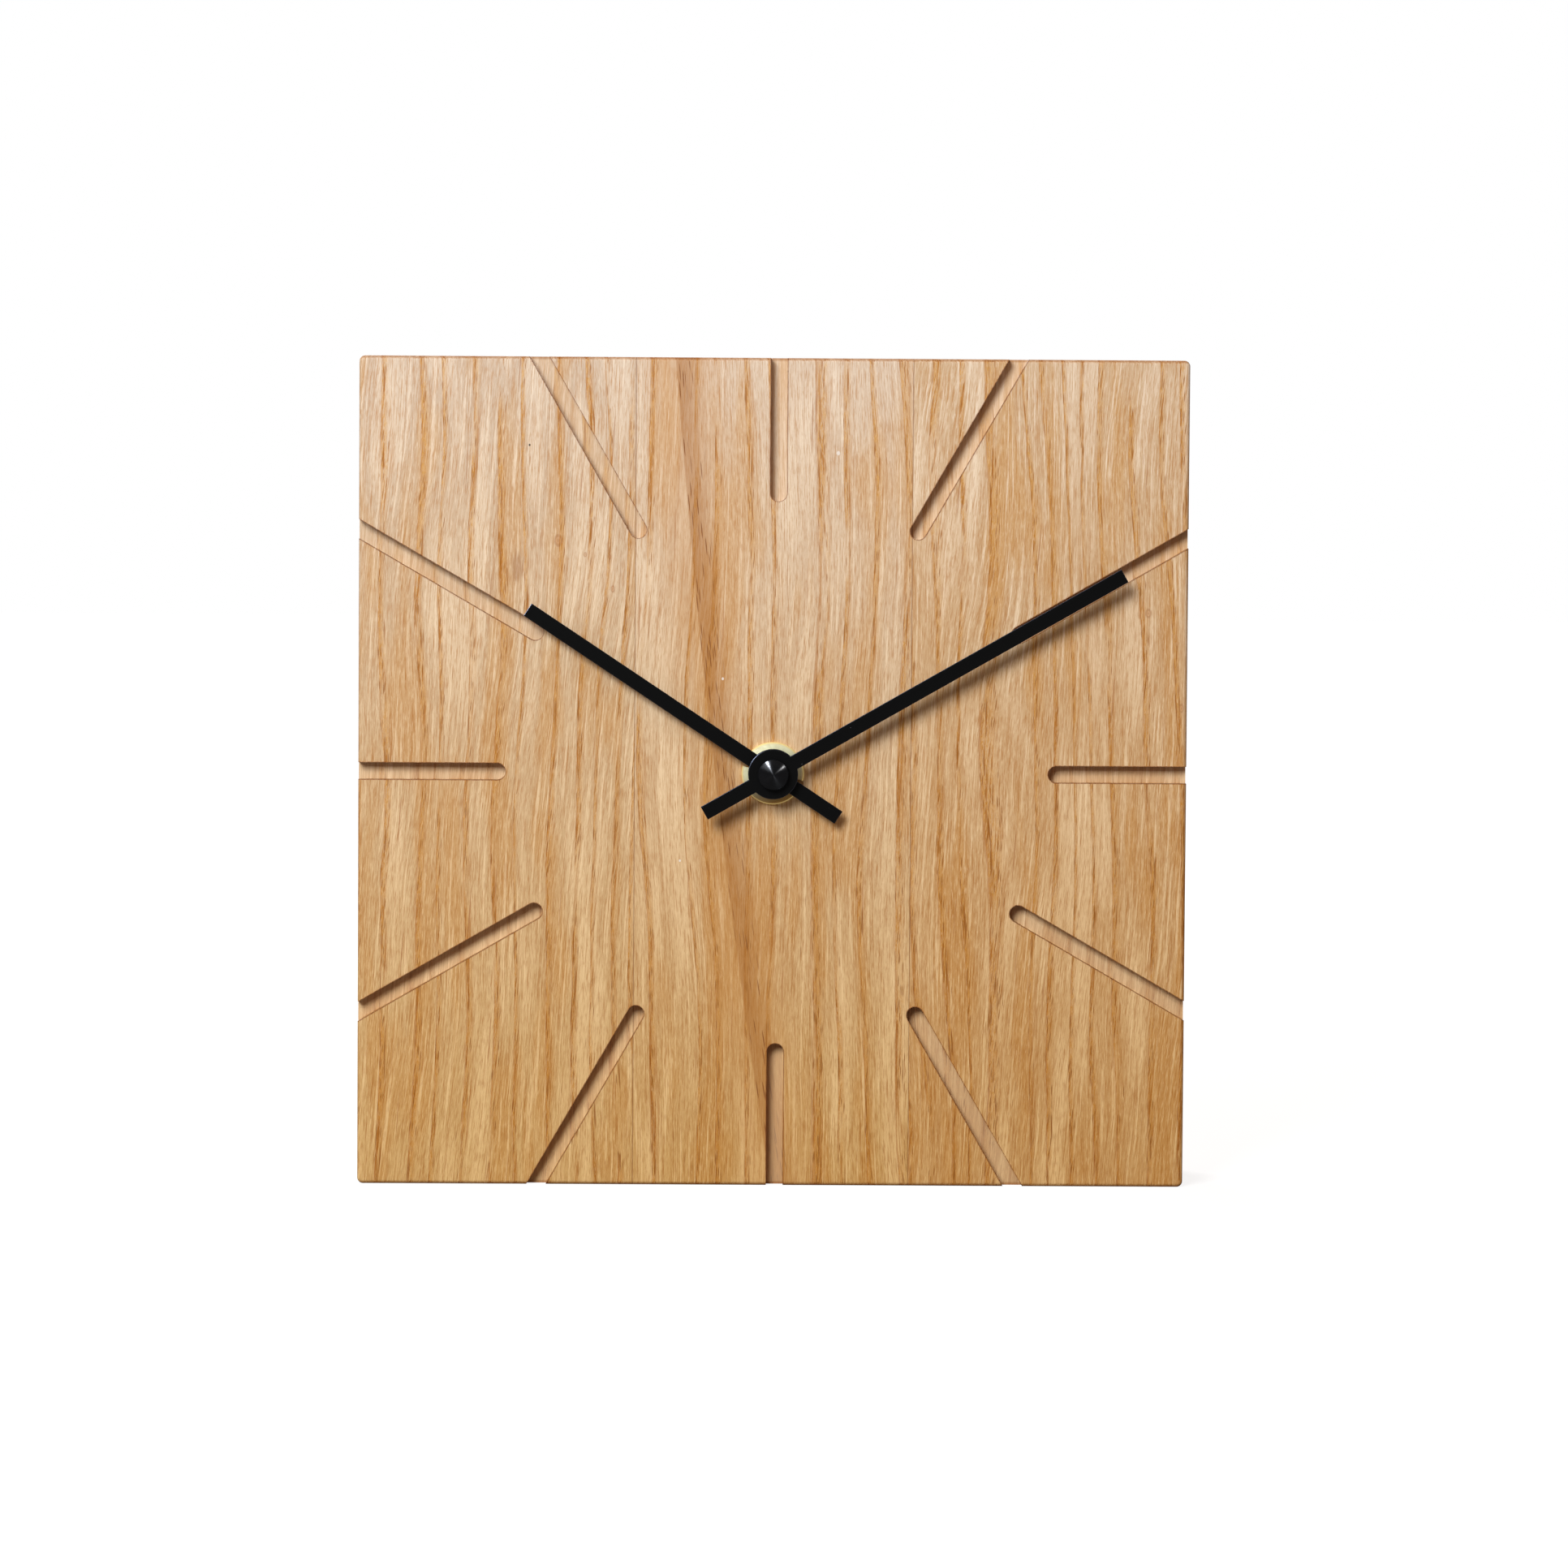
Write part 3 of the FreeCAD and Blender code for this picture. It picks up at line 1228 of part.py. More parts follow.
def make_minus_contact():
    """The contact at the flat end: a bent leaf in the bay and a strip round to the board."""
    contact = new_body("minus_contact")
    wall, skin = "half_room", "half_room - contact_thickness"
    strip = rectangle(skin, wall, "battery_z - spring_reach / 2", "room_bottom_z + contact_thickness")
    add(contact, [strip], "contact_y", "contact_foot_y")
    leaf = [
        (wall, "battery_z - spring_reach / 2"),
        (wall, "battery_z - spring_reach / 2 - contact_thickness"),
        ("battery_right_x", "battery_z"),
        ("battery_right_x", "battery_z + contact_thickness * 2"),
        ("battery_right_x + contact_thickness", "battery_z + contact_thickness * 2"),
        ("battery_right_x + contact_thickness", "battery_z + contact_thickness / 2"),
        (skin, "battery_z - spring_reach / 2 + contact_thickness"),
    ]
    add(contact, [leaf], "contact_y", "contact_foot_y")
    shelf = rectangle("riser_x", wall, "room_bottom_z", "room_bottom_z + contact_thickness")
    add(contact, [shelf], "contact_y", "contact_foot_y")
    riser = rectangle("riser_x", "riser_x + contact_thickness", "room_bottom_z", "board_bottom_z")
    add(contact, [riser], "contact_y", "contact_foot_y")
    low = "board_bottom_z - contact_thickness"
    foot = rectangle("riser_x", "riser_x + contact_foot", low, "contact_top_z")
    add(contact, [foot], "board_back_y", "contact_foot_y")
    return contact


# The whole clock

def make_clock():
    """Make every piece and return the objects that are written out."""
    block = make_block()
    pieces = [
        make_stave("stave_left", block, "-half_width - overrun", "-half_stave"),
        make_stave("stave_middle", block, "-half_stave", "half_stave"),
        make_stave("stave_right", block, "half_stave", "half_width + overrun"),
        make_gasket(),
        make_bush(),
        make_nut(),
        make_hand("hour", "pipe_radius + push_clearance"),
        make_hand("minute", "arbor_tip_diameter / 2 + push_clearance"),
        make_cap_nut(),
        make_case(),
        make_cover(),
        make_train_plate(),
    ]
    pieces += make_motion_work()
    pieces += make_going_train()
    pieces += [make_stator(), make_core(), make_bobbin(), make_winding()]
    pieces += [make_board(), make_chip(), make_crystal(), make_battery()]
    pieces += [make_plus_contact(), make_minus_contact()]
    return pieces


def make_motion_work():
    """Arbor, hour wheel, motion wheel and setting pinion, all in mesh."""
    line = number_of("motion_angle")
    wheel_phase = meshed_phase(0, "cannon_teeth", "motion_teeth", line)
    hour_phase = meshed_phase(0, "motion_pinion_teeth", "hour_teeth", line + HALF_TURN)
    setting_line = number_of("setting_angle")
    setting_phase = meshed_phase(wheel_phase, "motion_teeth", "setting_teeth", setting_line)
    return [
        make_minute_arbor(0),
        make_clutch_spring(),
        make_hour_wheel(hour_phase),
        make_motion_wheel(wheel_phase, 0),
        make_setting_arbor(setting_phase),
        make_setting_knob(),
    ]


def make_going_train():
    """Rotor, three wheels and the centre wheel, all in mesh. Every pinion has a leaf at angle zero."""
    def driven(name, angle_name):
        return meshed_phase(0, "pinion_teeth", name + "_teeth", number_of(angle_name) + HALF_TURN)
    rotor_pinion, magnet = make_rotor()
    return [
        rotor_pinion,
        magnet,
        make_train_wheel("fifth", "rotor", driven("fifth", "rotor_angle"), "seconds_wheel_y"),
        make_train_wheel("seconds", "fifth", driven("seconds", "fifth_angle"), "third_wheel_y"),
        make_train_wheel("third", "seconds", driven("third", "seconds_angle"), "centre_wheel_y"),
        make_centre_wheel(driven("centre", "third_angle")),
    ]


def check(pieces):
    """Stop if any object failed, or if a piece isn't one valid shape with a volume."""
    failed = [item.Name for item in doc.Objects if {"Invalid", "Error"} & set(item.State)]
    for item in pieces:
        shape = item.Shape
        if shape.isNull() or not shape.isValid() or not shape.Volume > 0:
            failed.append(item.Label)
    if failed:
        raise RuntimeError("failed objects: " + ", ".join(failed))


clock = make_clock()
doc.recompute()
check(clock)
os.makedirs("parts", exist_ok=True)
for piece in clock:
    piece.Shape.exportStep(f"parts/{piece.Label}.step")
    print(f"{piece.Label}: {len(piece.Shape.Solids)} solid, {piece.Shape.Volume:.1f} mm3")
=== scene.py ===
# %% [markdown]
# # A square oak desk clock
# The clock is a block of three glued oak staves with twelve milled grooves, two black bar hands under a
# turned cap nut, and a battery movement let into the back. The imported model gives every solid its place,
# in metres: +Z is up, the face looks along -Y, and the origin is under the middle of the block. This
# lesson leaves those solids where they are, gives them finishes, and adds the fine parts as meshes.
# %% Load the model
import math

import bmesh
import bpy
from mathutils import Matrix, Vector


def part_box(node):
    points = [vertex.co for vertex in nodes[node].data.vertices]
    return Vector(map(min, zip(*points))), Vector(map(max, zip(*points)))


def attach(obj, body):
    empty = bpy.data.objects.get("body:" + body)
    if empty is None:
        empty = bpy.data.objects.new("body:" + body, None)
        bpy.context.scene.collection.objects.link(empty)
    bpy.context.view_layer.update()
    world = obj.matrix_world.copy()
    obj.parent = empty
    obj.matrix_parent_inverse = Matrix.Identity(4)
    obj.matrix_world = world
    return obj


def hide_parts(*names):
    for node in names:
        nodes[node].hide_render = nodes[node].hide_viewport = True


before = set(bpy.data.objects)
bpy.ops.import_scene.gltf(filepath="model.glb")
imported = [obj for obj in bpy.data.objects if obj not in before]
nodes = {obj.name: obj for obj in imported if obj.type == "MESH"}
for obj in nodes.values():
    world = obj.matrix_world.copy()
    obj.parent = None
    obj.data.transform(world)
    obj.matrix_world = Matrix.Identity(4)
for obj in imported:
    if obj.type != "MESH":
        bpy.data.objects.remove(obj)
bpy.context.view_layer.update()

# %% [markdown]
# ## The camera
# A product photograph like this one is taken with a long lens from over a metre away, almost square on.
# The four corners of the block and the hub fix the view: the camera stands 1.4 m off, under a degree to
# one side and about three degrees above the hub. The small lens shift puts the hub where the picture
# has it without turning the camera, so the block's sides stay as straight as they are there.
# %% Camera
PHOTO_SIDE = 1932
SENSOR_MM = 36.0
FOCAL_PX = 7146.1
CENTRE_PX = (952.13, 952.54)
CAMERA_DISTANCE = 1.4
CAMERA_AZIMUTH = math.radians(0.831)
CAMERA_ELEVATION = math.radians(2.843)
CAMERA_ROLL = math.radians(0.371)
HUB = Vector((0.0, -0.020, 0.100))


def photo_camera():
    """A camera that sees the block as the photograph does."""
    across, up = math.cos(CAMERA_AZIMUTH), math.cos(CAMERA_ELEVATION)
    forward = Vector((math.sin(CAMERA_AZIMUTH) * up, across * up, -math.sin(CAMERA_ELEVATION)))
    level_right = Vector((across, -math.sin(CAMERA_AZIMUTH), 0))
    level_up = level_right.cross(forward)
    right = math.cos(CAMERA_ROLL) * level_right + math.sin(CAMERA_ROLL) * level_up
    upward = -math.sin(CAMERA_ROLL) * level_right + math.cos(CAMERA_ROLL) * level_up
    data = bpy.data.cameras.new("photo_camera")
    data.sensor_width = SENSOR_MM
    data.lens = FOCAL_PX / PHOTO_SIDE * SENSOR_MM
    data.shift_x = (PHOTO_SIDE / 2 - CENTRE_PX[0]) / PHOTO_SIDE
    data.shift_y = (CENTRE_PX[1] - PHOTO_SIDE / 2) / PHOTO_SIDE
    camera = bpy.data.objects.new("photo_camera", data)
    camera.rotation_mode = "QUATERNION"
    camera.rotation_quaternion = Matrix((right, upward, -forward)).transposed().to_quaternion()
    camera.location = HUB - forward * CAMERA_DISTANCE
    bpy.context.scene.collection.objects.link(camera)
    bpy.context.scene.camera = camera
    return camera


camera = photo_camera()
bpy.context.scene.view_settings.view_transform = "Standard"
print("lens, mm:", round(camera.data.lens, 2))

# %% [markdown]
# ## Numbers that vary over a surface
# A material is a graph of nodes. Sums written node by node are hard to read, so this helper lets a
# number that varies from point to point be written as ordinary arithmetic: adding or multiplying two of
# them adds a Math node and its links. Lengths inside the materials are millimetres, as on the bench.
# %% Fields
MM = 0.001


class Field:
    """A number at every point of a surface. Arithmetic on it adds Math nodes to its material."""

    def __init__(self, tree, socket):
        self.tree = tree
        self.socket = socket

    def math(self, operation, *others):
        node = self.tree.nodes.new("ShaderNodeMath")
        node.operation = operation
        for place, value in enumerate((self, *others)):
            connect(self.tree, value, node.inputs[place])
        return Field(self.tree, node.outputs[0])

    def __add__(self, other):
        return self.math("ADD", other)

    def __sub__(self, other):
        return self.math("SUBTRACT", other)

    def __mul__(self, other):
        return self.math("MULTIPLY", other)

    def __truediv__(self, other):
        return self.math("DIVIDE", other)

    def __rsub__(self, other):
        return self * -1.0 + other

    def size(self):
        return self.math("ABSOLUTE")

    def rises(self, low, high):
        """0 up to low, 1 from high on, and a smooth rise between them."""
        node = self.tree.nodes.new("ShaderNodeMapRange")
        node.interpolation_type = "SMOOTHSTEP"
        self.tree.links.new(self.socket, node.inputs["Value"])
        node.inputs["From Min"].default_value = low
        node.inputs["From Max"].default_value = high
        return Field(self.tree, node.outputs["Result"])

    def falls(self, low, high):
        """1 up to low, 0 from high on."""
        return 1.0 - self.rises(low, high)


def connect(tree, value, socket):
    """Gives a socket a field, another socket or a plain number."""
    if isinstance(value, Field):
        tree.links.new(value.socket, socket)
    elif isinstance(value, bpy.types.NodeSocket):
        tree.links.new(value, socket)
    else:
        socket.default_value = value


def place_in_mm(tree):
    """Where a point is on the clock: across, deep and up, in millimetres."""
    coordinates = tree.nodes.new("ShaderNodeTexCoord")
    scale = tree.nodes.new("ShaderNodeVectorMath")
    scale.operation = "SCALE"
    scale.inputs["Scale"].default_value = 1 / MM
    tree.links.new(coordinates.outputs["Object"], scale.inputs[0])
    apart = tree.nodes.new("ShaderNodeSeparateXYZ")
    tree.links.new(scale.outputs[0], apart.inputs[0])
    return [Field(tree, output) for output in apart.outputs]


def together(tree, across, deep, up):
    """Three fields as one vector socket."""
    node = tree.nodes.new("ShaderNodeCombineXYZ")
    for value, socket in zip((across, deep, up), node.inputs):
        connect(tree, value, socket)
    return node.outputs[0]


def noise(tree, across, deep, up, detail=2.0, roughness=0.5):
    """Soft noise with features about one unit wide along each of the three fields."""
    node = tree.nodes.new("ShaderNodeTexNoise")
    node.inputs["Scale"].default_value = 1.0
    node.inputs["Detail"].default_value = detail
    node.inputs["Roughness"].default_value = roughness
    tree.links.new(together(tree, across, deep, up), node.inputs["Vector"])
    return Field(tree, node.outputs["Fac"])


def seeds(tree, across, deep, up):
    """Distance to the nearest of many scattered points, one per unit, and a random number for each."""
    node = tree.nodes.new("ShaderNodeTexVoronoi")
    node.inputs["Scale"].default_value = 1.0
    tree.links.new(together(tree, across, deep, up), node.inputs["Vector"])
    apart = tree.nodes.new("ShaderNodeSeparateXYZ")
    tree.links.new(node.outputs["Color"], apart.inputs[0])
    return Field(tree, node.outputs["Distance"]), Field(tree, apart.outputs[0])


def linear(red, green, blue):
    """A colour as a picture editor shows it, 0 to 255, as the shader needs it."""
    shares = [value / 255 for value in (red, green, blue)]
    return tuple(s / 12.92 if s <= 0.04045 else ((s + 0.055) / 1.055) ** 2.4 for s in shares) + (1.0,)


def mixed(tree, amount, first, second, blend="MIX"):
    """The first colour with an amount of the second over it."""
    node = tree.nodes.new("ShaderNodeMix")
    node.data_type = "RGBA"
    node.blend_type = blend
    connect(tree, amount, node.inputs["Factor"])
    connect(tree, first, node.inputs["A"])
    connect(tree, second, node.inputs["B"])
    return node.outputs["Result"]


def new_material(name):
    """A material with only its shader and output, and the tree to build on."""
    material = bpy.data.materials.new(name)
    material.use_nodes = True
    tree = material.node_tree
    return material, tree, tree.nodes["Principled BSDF"]


def raise_surface(tree, shader, height, depth_mm, strength=1.0):
    """Turns a height field, 0 to 1, into relief of the given depth."""
    bump = tree.nodes.new("ShaderNodeBump")
    bump.inputs["Strength"].default_value = strength
    bump.inputs["Distance"].default_value = depth_mm * MM
    tree.links.new(height.socket, bump.inputs["Height"])
    tree.links.new(bump.outputs["Normal"], shader.inputs["Normal"])


print("helpers ready")

# %% [markdown]
# ## Oak
# The block is glued from three staves with the grain upright. Oak shows its yearly rings as bands of
# open pores, which read as rows of short brown dashes; between them lies dense pale wood with fine
# fibres, and long thin rays cross it at a slight lean. A photograph stretched over the block would only
# fit one side, so the pattern is worked out in space: every field below stretches far along the grain
# and little across it, and so the same rings meet at the edges and show as rows of dots on the end grain.
# %% Sizes of the block, in mm
stave_low, stave_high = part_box("stave_middle")
JOINT_X = stave_high.x / MM
BLOCK_HEIGHT = stave_high.z / MM
FACE_Y = stave_low.y / MM
HUB_Z = HUB.z / MM
# The grooves point at a spot a millimetre to the right of the hands' axis.
STAR_X = 1.0
GROOVES = 12
GROOVE_DEPTH = 3.5
GROOVE_HALF_WIDTH = 2.05
GROOVE_TIP_RADIUS = 65.5
FLOOR_Y = FACE_Y + GROOVE_DEPTH
print("joint lines at", round(JOINT_X, 2), "and groove floors at", round(FLOOR_Y, 2))
# %% Fields that find a place on the block
def groove_edge(across, up):
    """Distance, in mm, outside the nearest groove's outline; it is negative inside a groove."""
    sector = 2 * math.pi / GROOVES
    right, high = across - STAR_X, up - HUB_Z
    angle = right.math("ARCTAN2", high)
    radius = (right * right + high * high).math("SQRT")
    nearest = (angle / sector).math("ROUND") * sector
    along = radius * (angle - nearest).math("COSINE")
    beside = (radius * (angle - nearest).math("SINE")).size()
    short = (GROOVE_TIP_RADIUS + GROOVE_HALF_WIDTH - along).math("MAXIMUM", 0.0)
    return (beside * beside + short * short).math("SQRT") - GROOVE_HALF_WIDTH


def ellipse(across, up, centre, half_width, half_height):
    """Distance from a spot's centre in half widths: 1 on its edge."""
    right = (across - centre[0]) / half_width
    high = (up - centre[1]) / half_height
    return (right * right + high * high).math("SQRT")


print("place fields ready")

# %% [markdown]
# Each kind of figure in the wood has a width across the grain and a length along it. The colours come in
# pairs, for the foot and the head of the block; the paler, less yellow head is a painted sheen from above.
# Layers of colour are then laid over each other, from broad tones to single fibres, as a painter who
# imitates oak would do it: an amount says how much of each layer's colour shows at a point.
# %% Figures and colours of oak
TONES = (9.0, 60.0)
PATCHES = (3.0, 26.0)
STREAKS = (0.8, 40.0)
FIBRES = (0.26, 9.0)
GRAIN = (0.22, 2.6)
SMALL_PORES = (0.36, 5.0)
LARGE_PORES = (0.75, 14.0)
RAYS = (1.2, 60.0)
BROAD_WANDER = (30.0, 110.0)
SMALL_WANDER = (6.0, 22.0)
BROAD_WANDER_REACH = 12.0
SMALL_WANDER_REACH = 0.8
RINGS_LEAN_BACK = 0.35
UNEVEN_YEARS = 3.0
UNEVEN_YEARS_WIDTH = 16.0
SEED_STEP = 37.0
HEIGHT_CURVE = 1.25
# Foot and head colours; the paler head is a painted sheen of the light from above.
PALE_WOOD = ((228, 192, 136), (232, 215, 194))
GOLDEN_WOOD = ((174, 112, 30), (194, 140, 62))
DARK_WOOD = ((148, 86, 20), (170, 110, 40))
PORE_WOOD = ((126, 70, 14), (152, 92, 30))
LATE_WOOD = (174, 126, 88)
RAY_WOOD = (152, 96, 54)


def stretched(tree, shift, beside, deep, up, figure, detail=2.0, roughness=0.5):
    """Noise drawn out along the grain to a figure's width and length."""
    width, length = figure
    return noise(tree, beside / width + shift, deep / width, up / length, detail, roughness)


def scattered(tree, shift, beside, deep, up, figure):
    """Scattered seeds drawn out along the grain: distance to the nearest, and its random number."""
    width, length = figure
    return seeds(tree, beside / width + shift, deep / width, up / length)


def painted_sheen_by_height(tree, up, colours):
    """A colour from the block's foot to its head, whose paler head is a painted sheen from above."""
    share = (up / BLOCK_HEIGHT).math("POWER", HEIGHT_CURVE)
    return mixed(tree, share, linear(*colours[0]), linear(*colours[1]))


def growth(tree, shift, place, ring_width, ring_start, lean):
    """Distance across the rings, in mm, and how far the year has gone there, 0 to 1."""
    across, deep, up = place
    broad = stretched(tree, shift, across, deep, up, BROAD_WANDER, detail=1.0) - 0.5
    small = stretched(tree, shift, across, deep, up, SMALL_WANDER, detail=1.0) - 0.5
    upright = across + deep * RINGS_LEAN_BACK + (up - HUB_Z) * lean
    ring = upright + broad * BROAD_WANDER_REACH + small * SMALL_WANDER_REACH
    uneven = noise(tree, ring / UNEVEN_YEARS_WIDTH + shift, deep * 0.0, up * 0.0, detail=1.0)
    year = (ring - ring_start) / ring_width + (uneven - 0.5) * UNEVEN_YEARS
    return ring, year - year.math("FLOOR")


def layered(tree, base, layers):
    """A base colour under a list of (amount, colour) layers."""
    for amount, colour in layers:
        base = mixed(tree, amount, base, colour)
    return base


print("colours and figures of oak ready")
# %% Clean oak
def clean_oak(tree, place, shift, colours, rings, ray_lean):
    """The colour of clean wood, with the streaks, fibres and pores that its relief also needs."""
    across, deep, up = place
    ring_width = rings[0]
    ring, phase = growth(tree, shift, place, *rings)
    patchy = stretched(tree, shift, ring, deep, up, PATCHES)
    band = phase.falls(0.08, 0.34) * phase.rises(0.0, 0.04) * patchy.rises(0.28, 0.50)
    late = (phase * ring_width).falls(0.2, 0.6) * patchy.rises(0.25, 0.50)
    leaning = ring + up * ray_lean
    tone = stretched(tree, shift, ring, deep, up, TONES)
    streak = stretched(tree, shift, leaning, deep, up, STREAKS, detail=3.0, roughness=0.6)
    fibre = stretched(tree, shift, leaning, deep, up, FIBRES, detail=3.0, roughness=0.6)
    grain = stretched(tree, shift, leaning, deep, up, GRAIN, roughness=0.6)
    near, chance = scattered(tree, shift, leaning, deep, up, SMALL_PORES)
    small_pores = near.falls(0.16, 0.36) * (chance + band * 1.5).rises(0.95, 1.03)
    near, chance = scattered(tree, shift, ring, deep, up, LARGE_PORES)
    large_pores = near.falls(0.14, 0.32) * (chance + band * 0.8).rises(0.98, 1.10)
    pores = small_pores.math("MAXIMUM", large_pores)
    near, chance = scattered(tree, shift, across + up * ray_lean, deep, up, RAYS)
    rays = near.falls(0.07, 0.14) * chance.rises(0.35, 0.55)

    # Every wood colour turns paler towards the head, a painted sheen of the light from above.
    pale, golden, dark = [painted_sheen_by_height(tree, up, wood) for wood in (PALE_WOOD, GOLDEN_WOOD, DARK_WOOD)]
    base = layered(tree, painted_sheen_by_height(tree, up, colours), [
        # Broad pale and golden tones, and long pale streaks, fewer of them in a year's band.
        (tone.rises(0.50, 0.64) * 0.42, pale),
        (tone.falls(0.36, 0.50) * 0.38, golden),
        (streak.rises(0.53, 0.64) * (0.56 - band * 0.40), pale),
        # The line where a year starts, and its band of open wood.
        (late * 0.42, linear(*LATE_WOOD)),
        (band * (grain.rises(0.46, 0.56) * 0.66 + 0.24), golden),
        # Long dark streaks, then single fibres and the grain inside them.
        (streak.falls(0.34, 0.45) * (band * 0.60 + 0.30), dark),
        (fibre.rises(0.54, 0.66) * 0.30, pale),
        (fibre.falls(0.38, 0.46) * (band * 0.40 + 0.46), dark),
        (grain.falls(0.38, 0.48) * 0.32, dark),
        (grain.rises(0.56, 0.66) * 0.34, pale),
        # Thin leaning rays, and the pores on top of everything.
        (rays * 0.62, linear(*RAY_WOOD)),
        (pores * 0.75, painted_sheen_by_height(tree, up, PORE_WOOD)),
    ])
    return base, streak, fibre, pores


print("clean oak ready")

# %% [markdown]
# No board is clean. This one has a dark slanting band, small knots, a smudge and a few specks, and they
# only lie on its front. Where the cutter and the saw have been, the wood also looks different: the lips
# and walls of the grooves are darkened, partly as singeing and partly as painted shade that deepens the
# grooves, their floors are paler, a thin line shows at each glue joint, and the end grain drinks more oil.
# %% Marks in the wood
BAND_WOOD = (156, 100, 44)
NEAR_BAND_WOOD = (184, 130, 70)
DASH_WOOD = (118, 68, 32)
DASHES = (0.45, 8.0)
SMUDGE_COLOUR = (140, 94, 62)
KNOT_COLOUR = (184, 126, 76)
KNOT_RIM_COLOUR = (140, 88, 50)
SPECK_HEIGHT_SHARE = 1.3
# Colour of the groove lips and walls: singeing and painted shade together.
SINGED_AND_SHADED_WOOD = (118, 62, 26)
MILLED_WOOD = (218, 186, 150)
SEAM_COLOUR = (112, 64, 34)
END_GRAIN_TINT = (186, 132, 52)


def dark_streak(tree, base, place, band):
    """A band of late wood, sharp on its left and fading to its right, with short dark dashes in it."""
    across, deep, up = place
    top_x, top_slope, curve = band
    fall = BLOCK_HEIGHT - up
    past = across - (fall * top_slope + fall * fall * curve + top_x)
    inside = past.rises(-0.4, 0.1) * past.falls(1.0, 7.5)
    near_band = past.rises(-12, -1) * past.falls(2, 16)
    near, chance = scattered(tree, 0.0, past, deep, up, DASHES)
    dashes = near.falls(0.20, 0.34) * inside.rises(0.2, 0.7) * chance.rises(0.2, 0.4)
    return layered(tree, base, [(near_band * 0.34, linear(*NEAR_BAND_WOOD)),
                                (inside * 0.52, linear(*BAND_WOOD)),
                                (dashes * 0.85, linear(*DASH_WOOD))])


def flawed(tree, base, place, fibre, smudge, knots, specks):
    """The wood with the small flaws of its front."""
    across, deep, up = place
    front = deep.falls(FACE_Y + 1.0, FACE_Y + 4.0)
    layers = []
    if smudge:
        blurred = ellipse(across, up, *smudge) + (fibre - 0.5) * 1.6
        layers.append((blurred.falls(0.5, 1.1) * front * 0.40, linear(*SMUDGE_COLOUR)))
    for knot in knots:
        spot = ellipse(across, up, *knot)
        rim = (spot - 1.0).size().falls(0.1, 0.5)
        layers.append((spot.falls(0.8, 1.3) * front * 0.30, linear(*KNOT_COLOUR)))
        layers.append(((rim + spot.falls(0.1, 0.5)) * front * 0.34, linear(*KNOT_RIM_COLOUR)))
    for centre, half_width, colour in specks:
        spot = ellipse(across, up, centre, half_width, half_width * SPECK_HEIGHT_SHARE)
        layers.append((spot.falls(0.7, 1.2) * front * 0.85, linear(*colour)))
    return layered(tree, base, layers)


def worked(tree, base, place, fibre, seam):
    """The wood as the cutter, the glue and the saw have left it, with painted shade on the grooves' lips and
    walls.
    """
    across, deep, up = place
    edge = groove_edge(across, up)
    at_lip = deep.falls(FACE_Y + 0.4, FACE_Y + 1.2)
    at_corner = deep.falls(FLOOR_Y - 0.1, FLOOR_Y)
    # Darker lips and groove walls: partly singeing, partly painted shade that deepens the grooves.
    singed_and_shaded = edge.size().falls(0.08, 0.24) * (at_lip * 0.30 + at_corner * 0.45)
    on_floor = deep.rises(FLOOR_Y - 0.3, FLOOR_Y - 0.1) * deep.falls(FLOOR_Y + 0.1, FLOOR_Y + 0.3)
    end_grain = ((up - HUB_Z).size() - HUB_Z).rises(-0.9, -0.3)
    base = layered(tree, base, [(singed_and_shaded * (fibre.rises(0.40, 0.60) * 0.7 + 0.5), linear(*SINGED_AND_SHADED_WOOD)),
                                (edge.falls(-0.2, 0.0) * on_floor * 0.34, linear(*MILLED_WOOD)),
                                (seam * 0.50, linear(*SEAM_COLOUR))])
    return mixed(tree, end_grain * 0.55, base, linear(*END_GRAIN_TINT), blend="MULTIPLY")


print("marks ready")
# %% The three staves
def oak(name, seed, colours, rings, ray_lean, dark_band=None, smudge=None, knots=(), specks=()):
    """Oiled oak: one stave's rings, pores, fibres and rays.

    Colours are for its foot and its head. Rings are their width, where one starts and how far they lean.
    """
    material, tree, shader = new_material(name)
    place = place_in_mm(tree)
    shift = seed * SEED_STEP
    base, streak, fibre, pores = clean_oak(tree, place, shift, colours, rings, ray_lean)
    if dark_band:
        base = dark_streak(tree, base, place, dark_band)
    base = flawed(tree, base, place, fibre, smudge, knots, specks)
    seam = (place[0].size() - JOINT_X).size().falls(0.05, 0.16)
    tree.links.new(worked(tree, base, place, fibre, seam), shader.inputs["Base Color"])
    shader.inputs["Specular IOR Level"].default_value = 0.10
    connect(tree, fibre * 0.16 + 0.44, shader.inputs["Roughness"])
    relief = fibre * 0.4 + streak * 0.15 - pores * 0.9 - seam * 0.8
    raise_surface(tree, shader, relief, depth_mm=0.06, strength=0.8)
    return material


BLACK_SPECK = (26, 22, 20)
PALE_SPECK = (224, 214, 204)
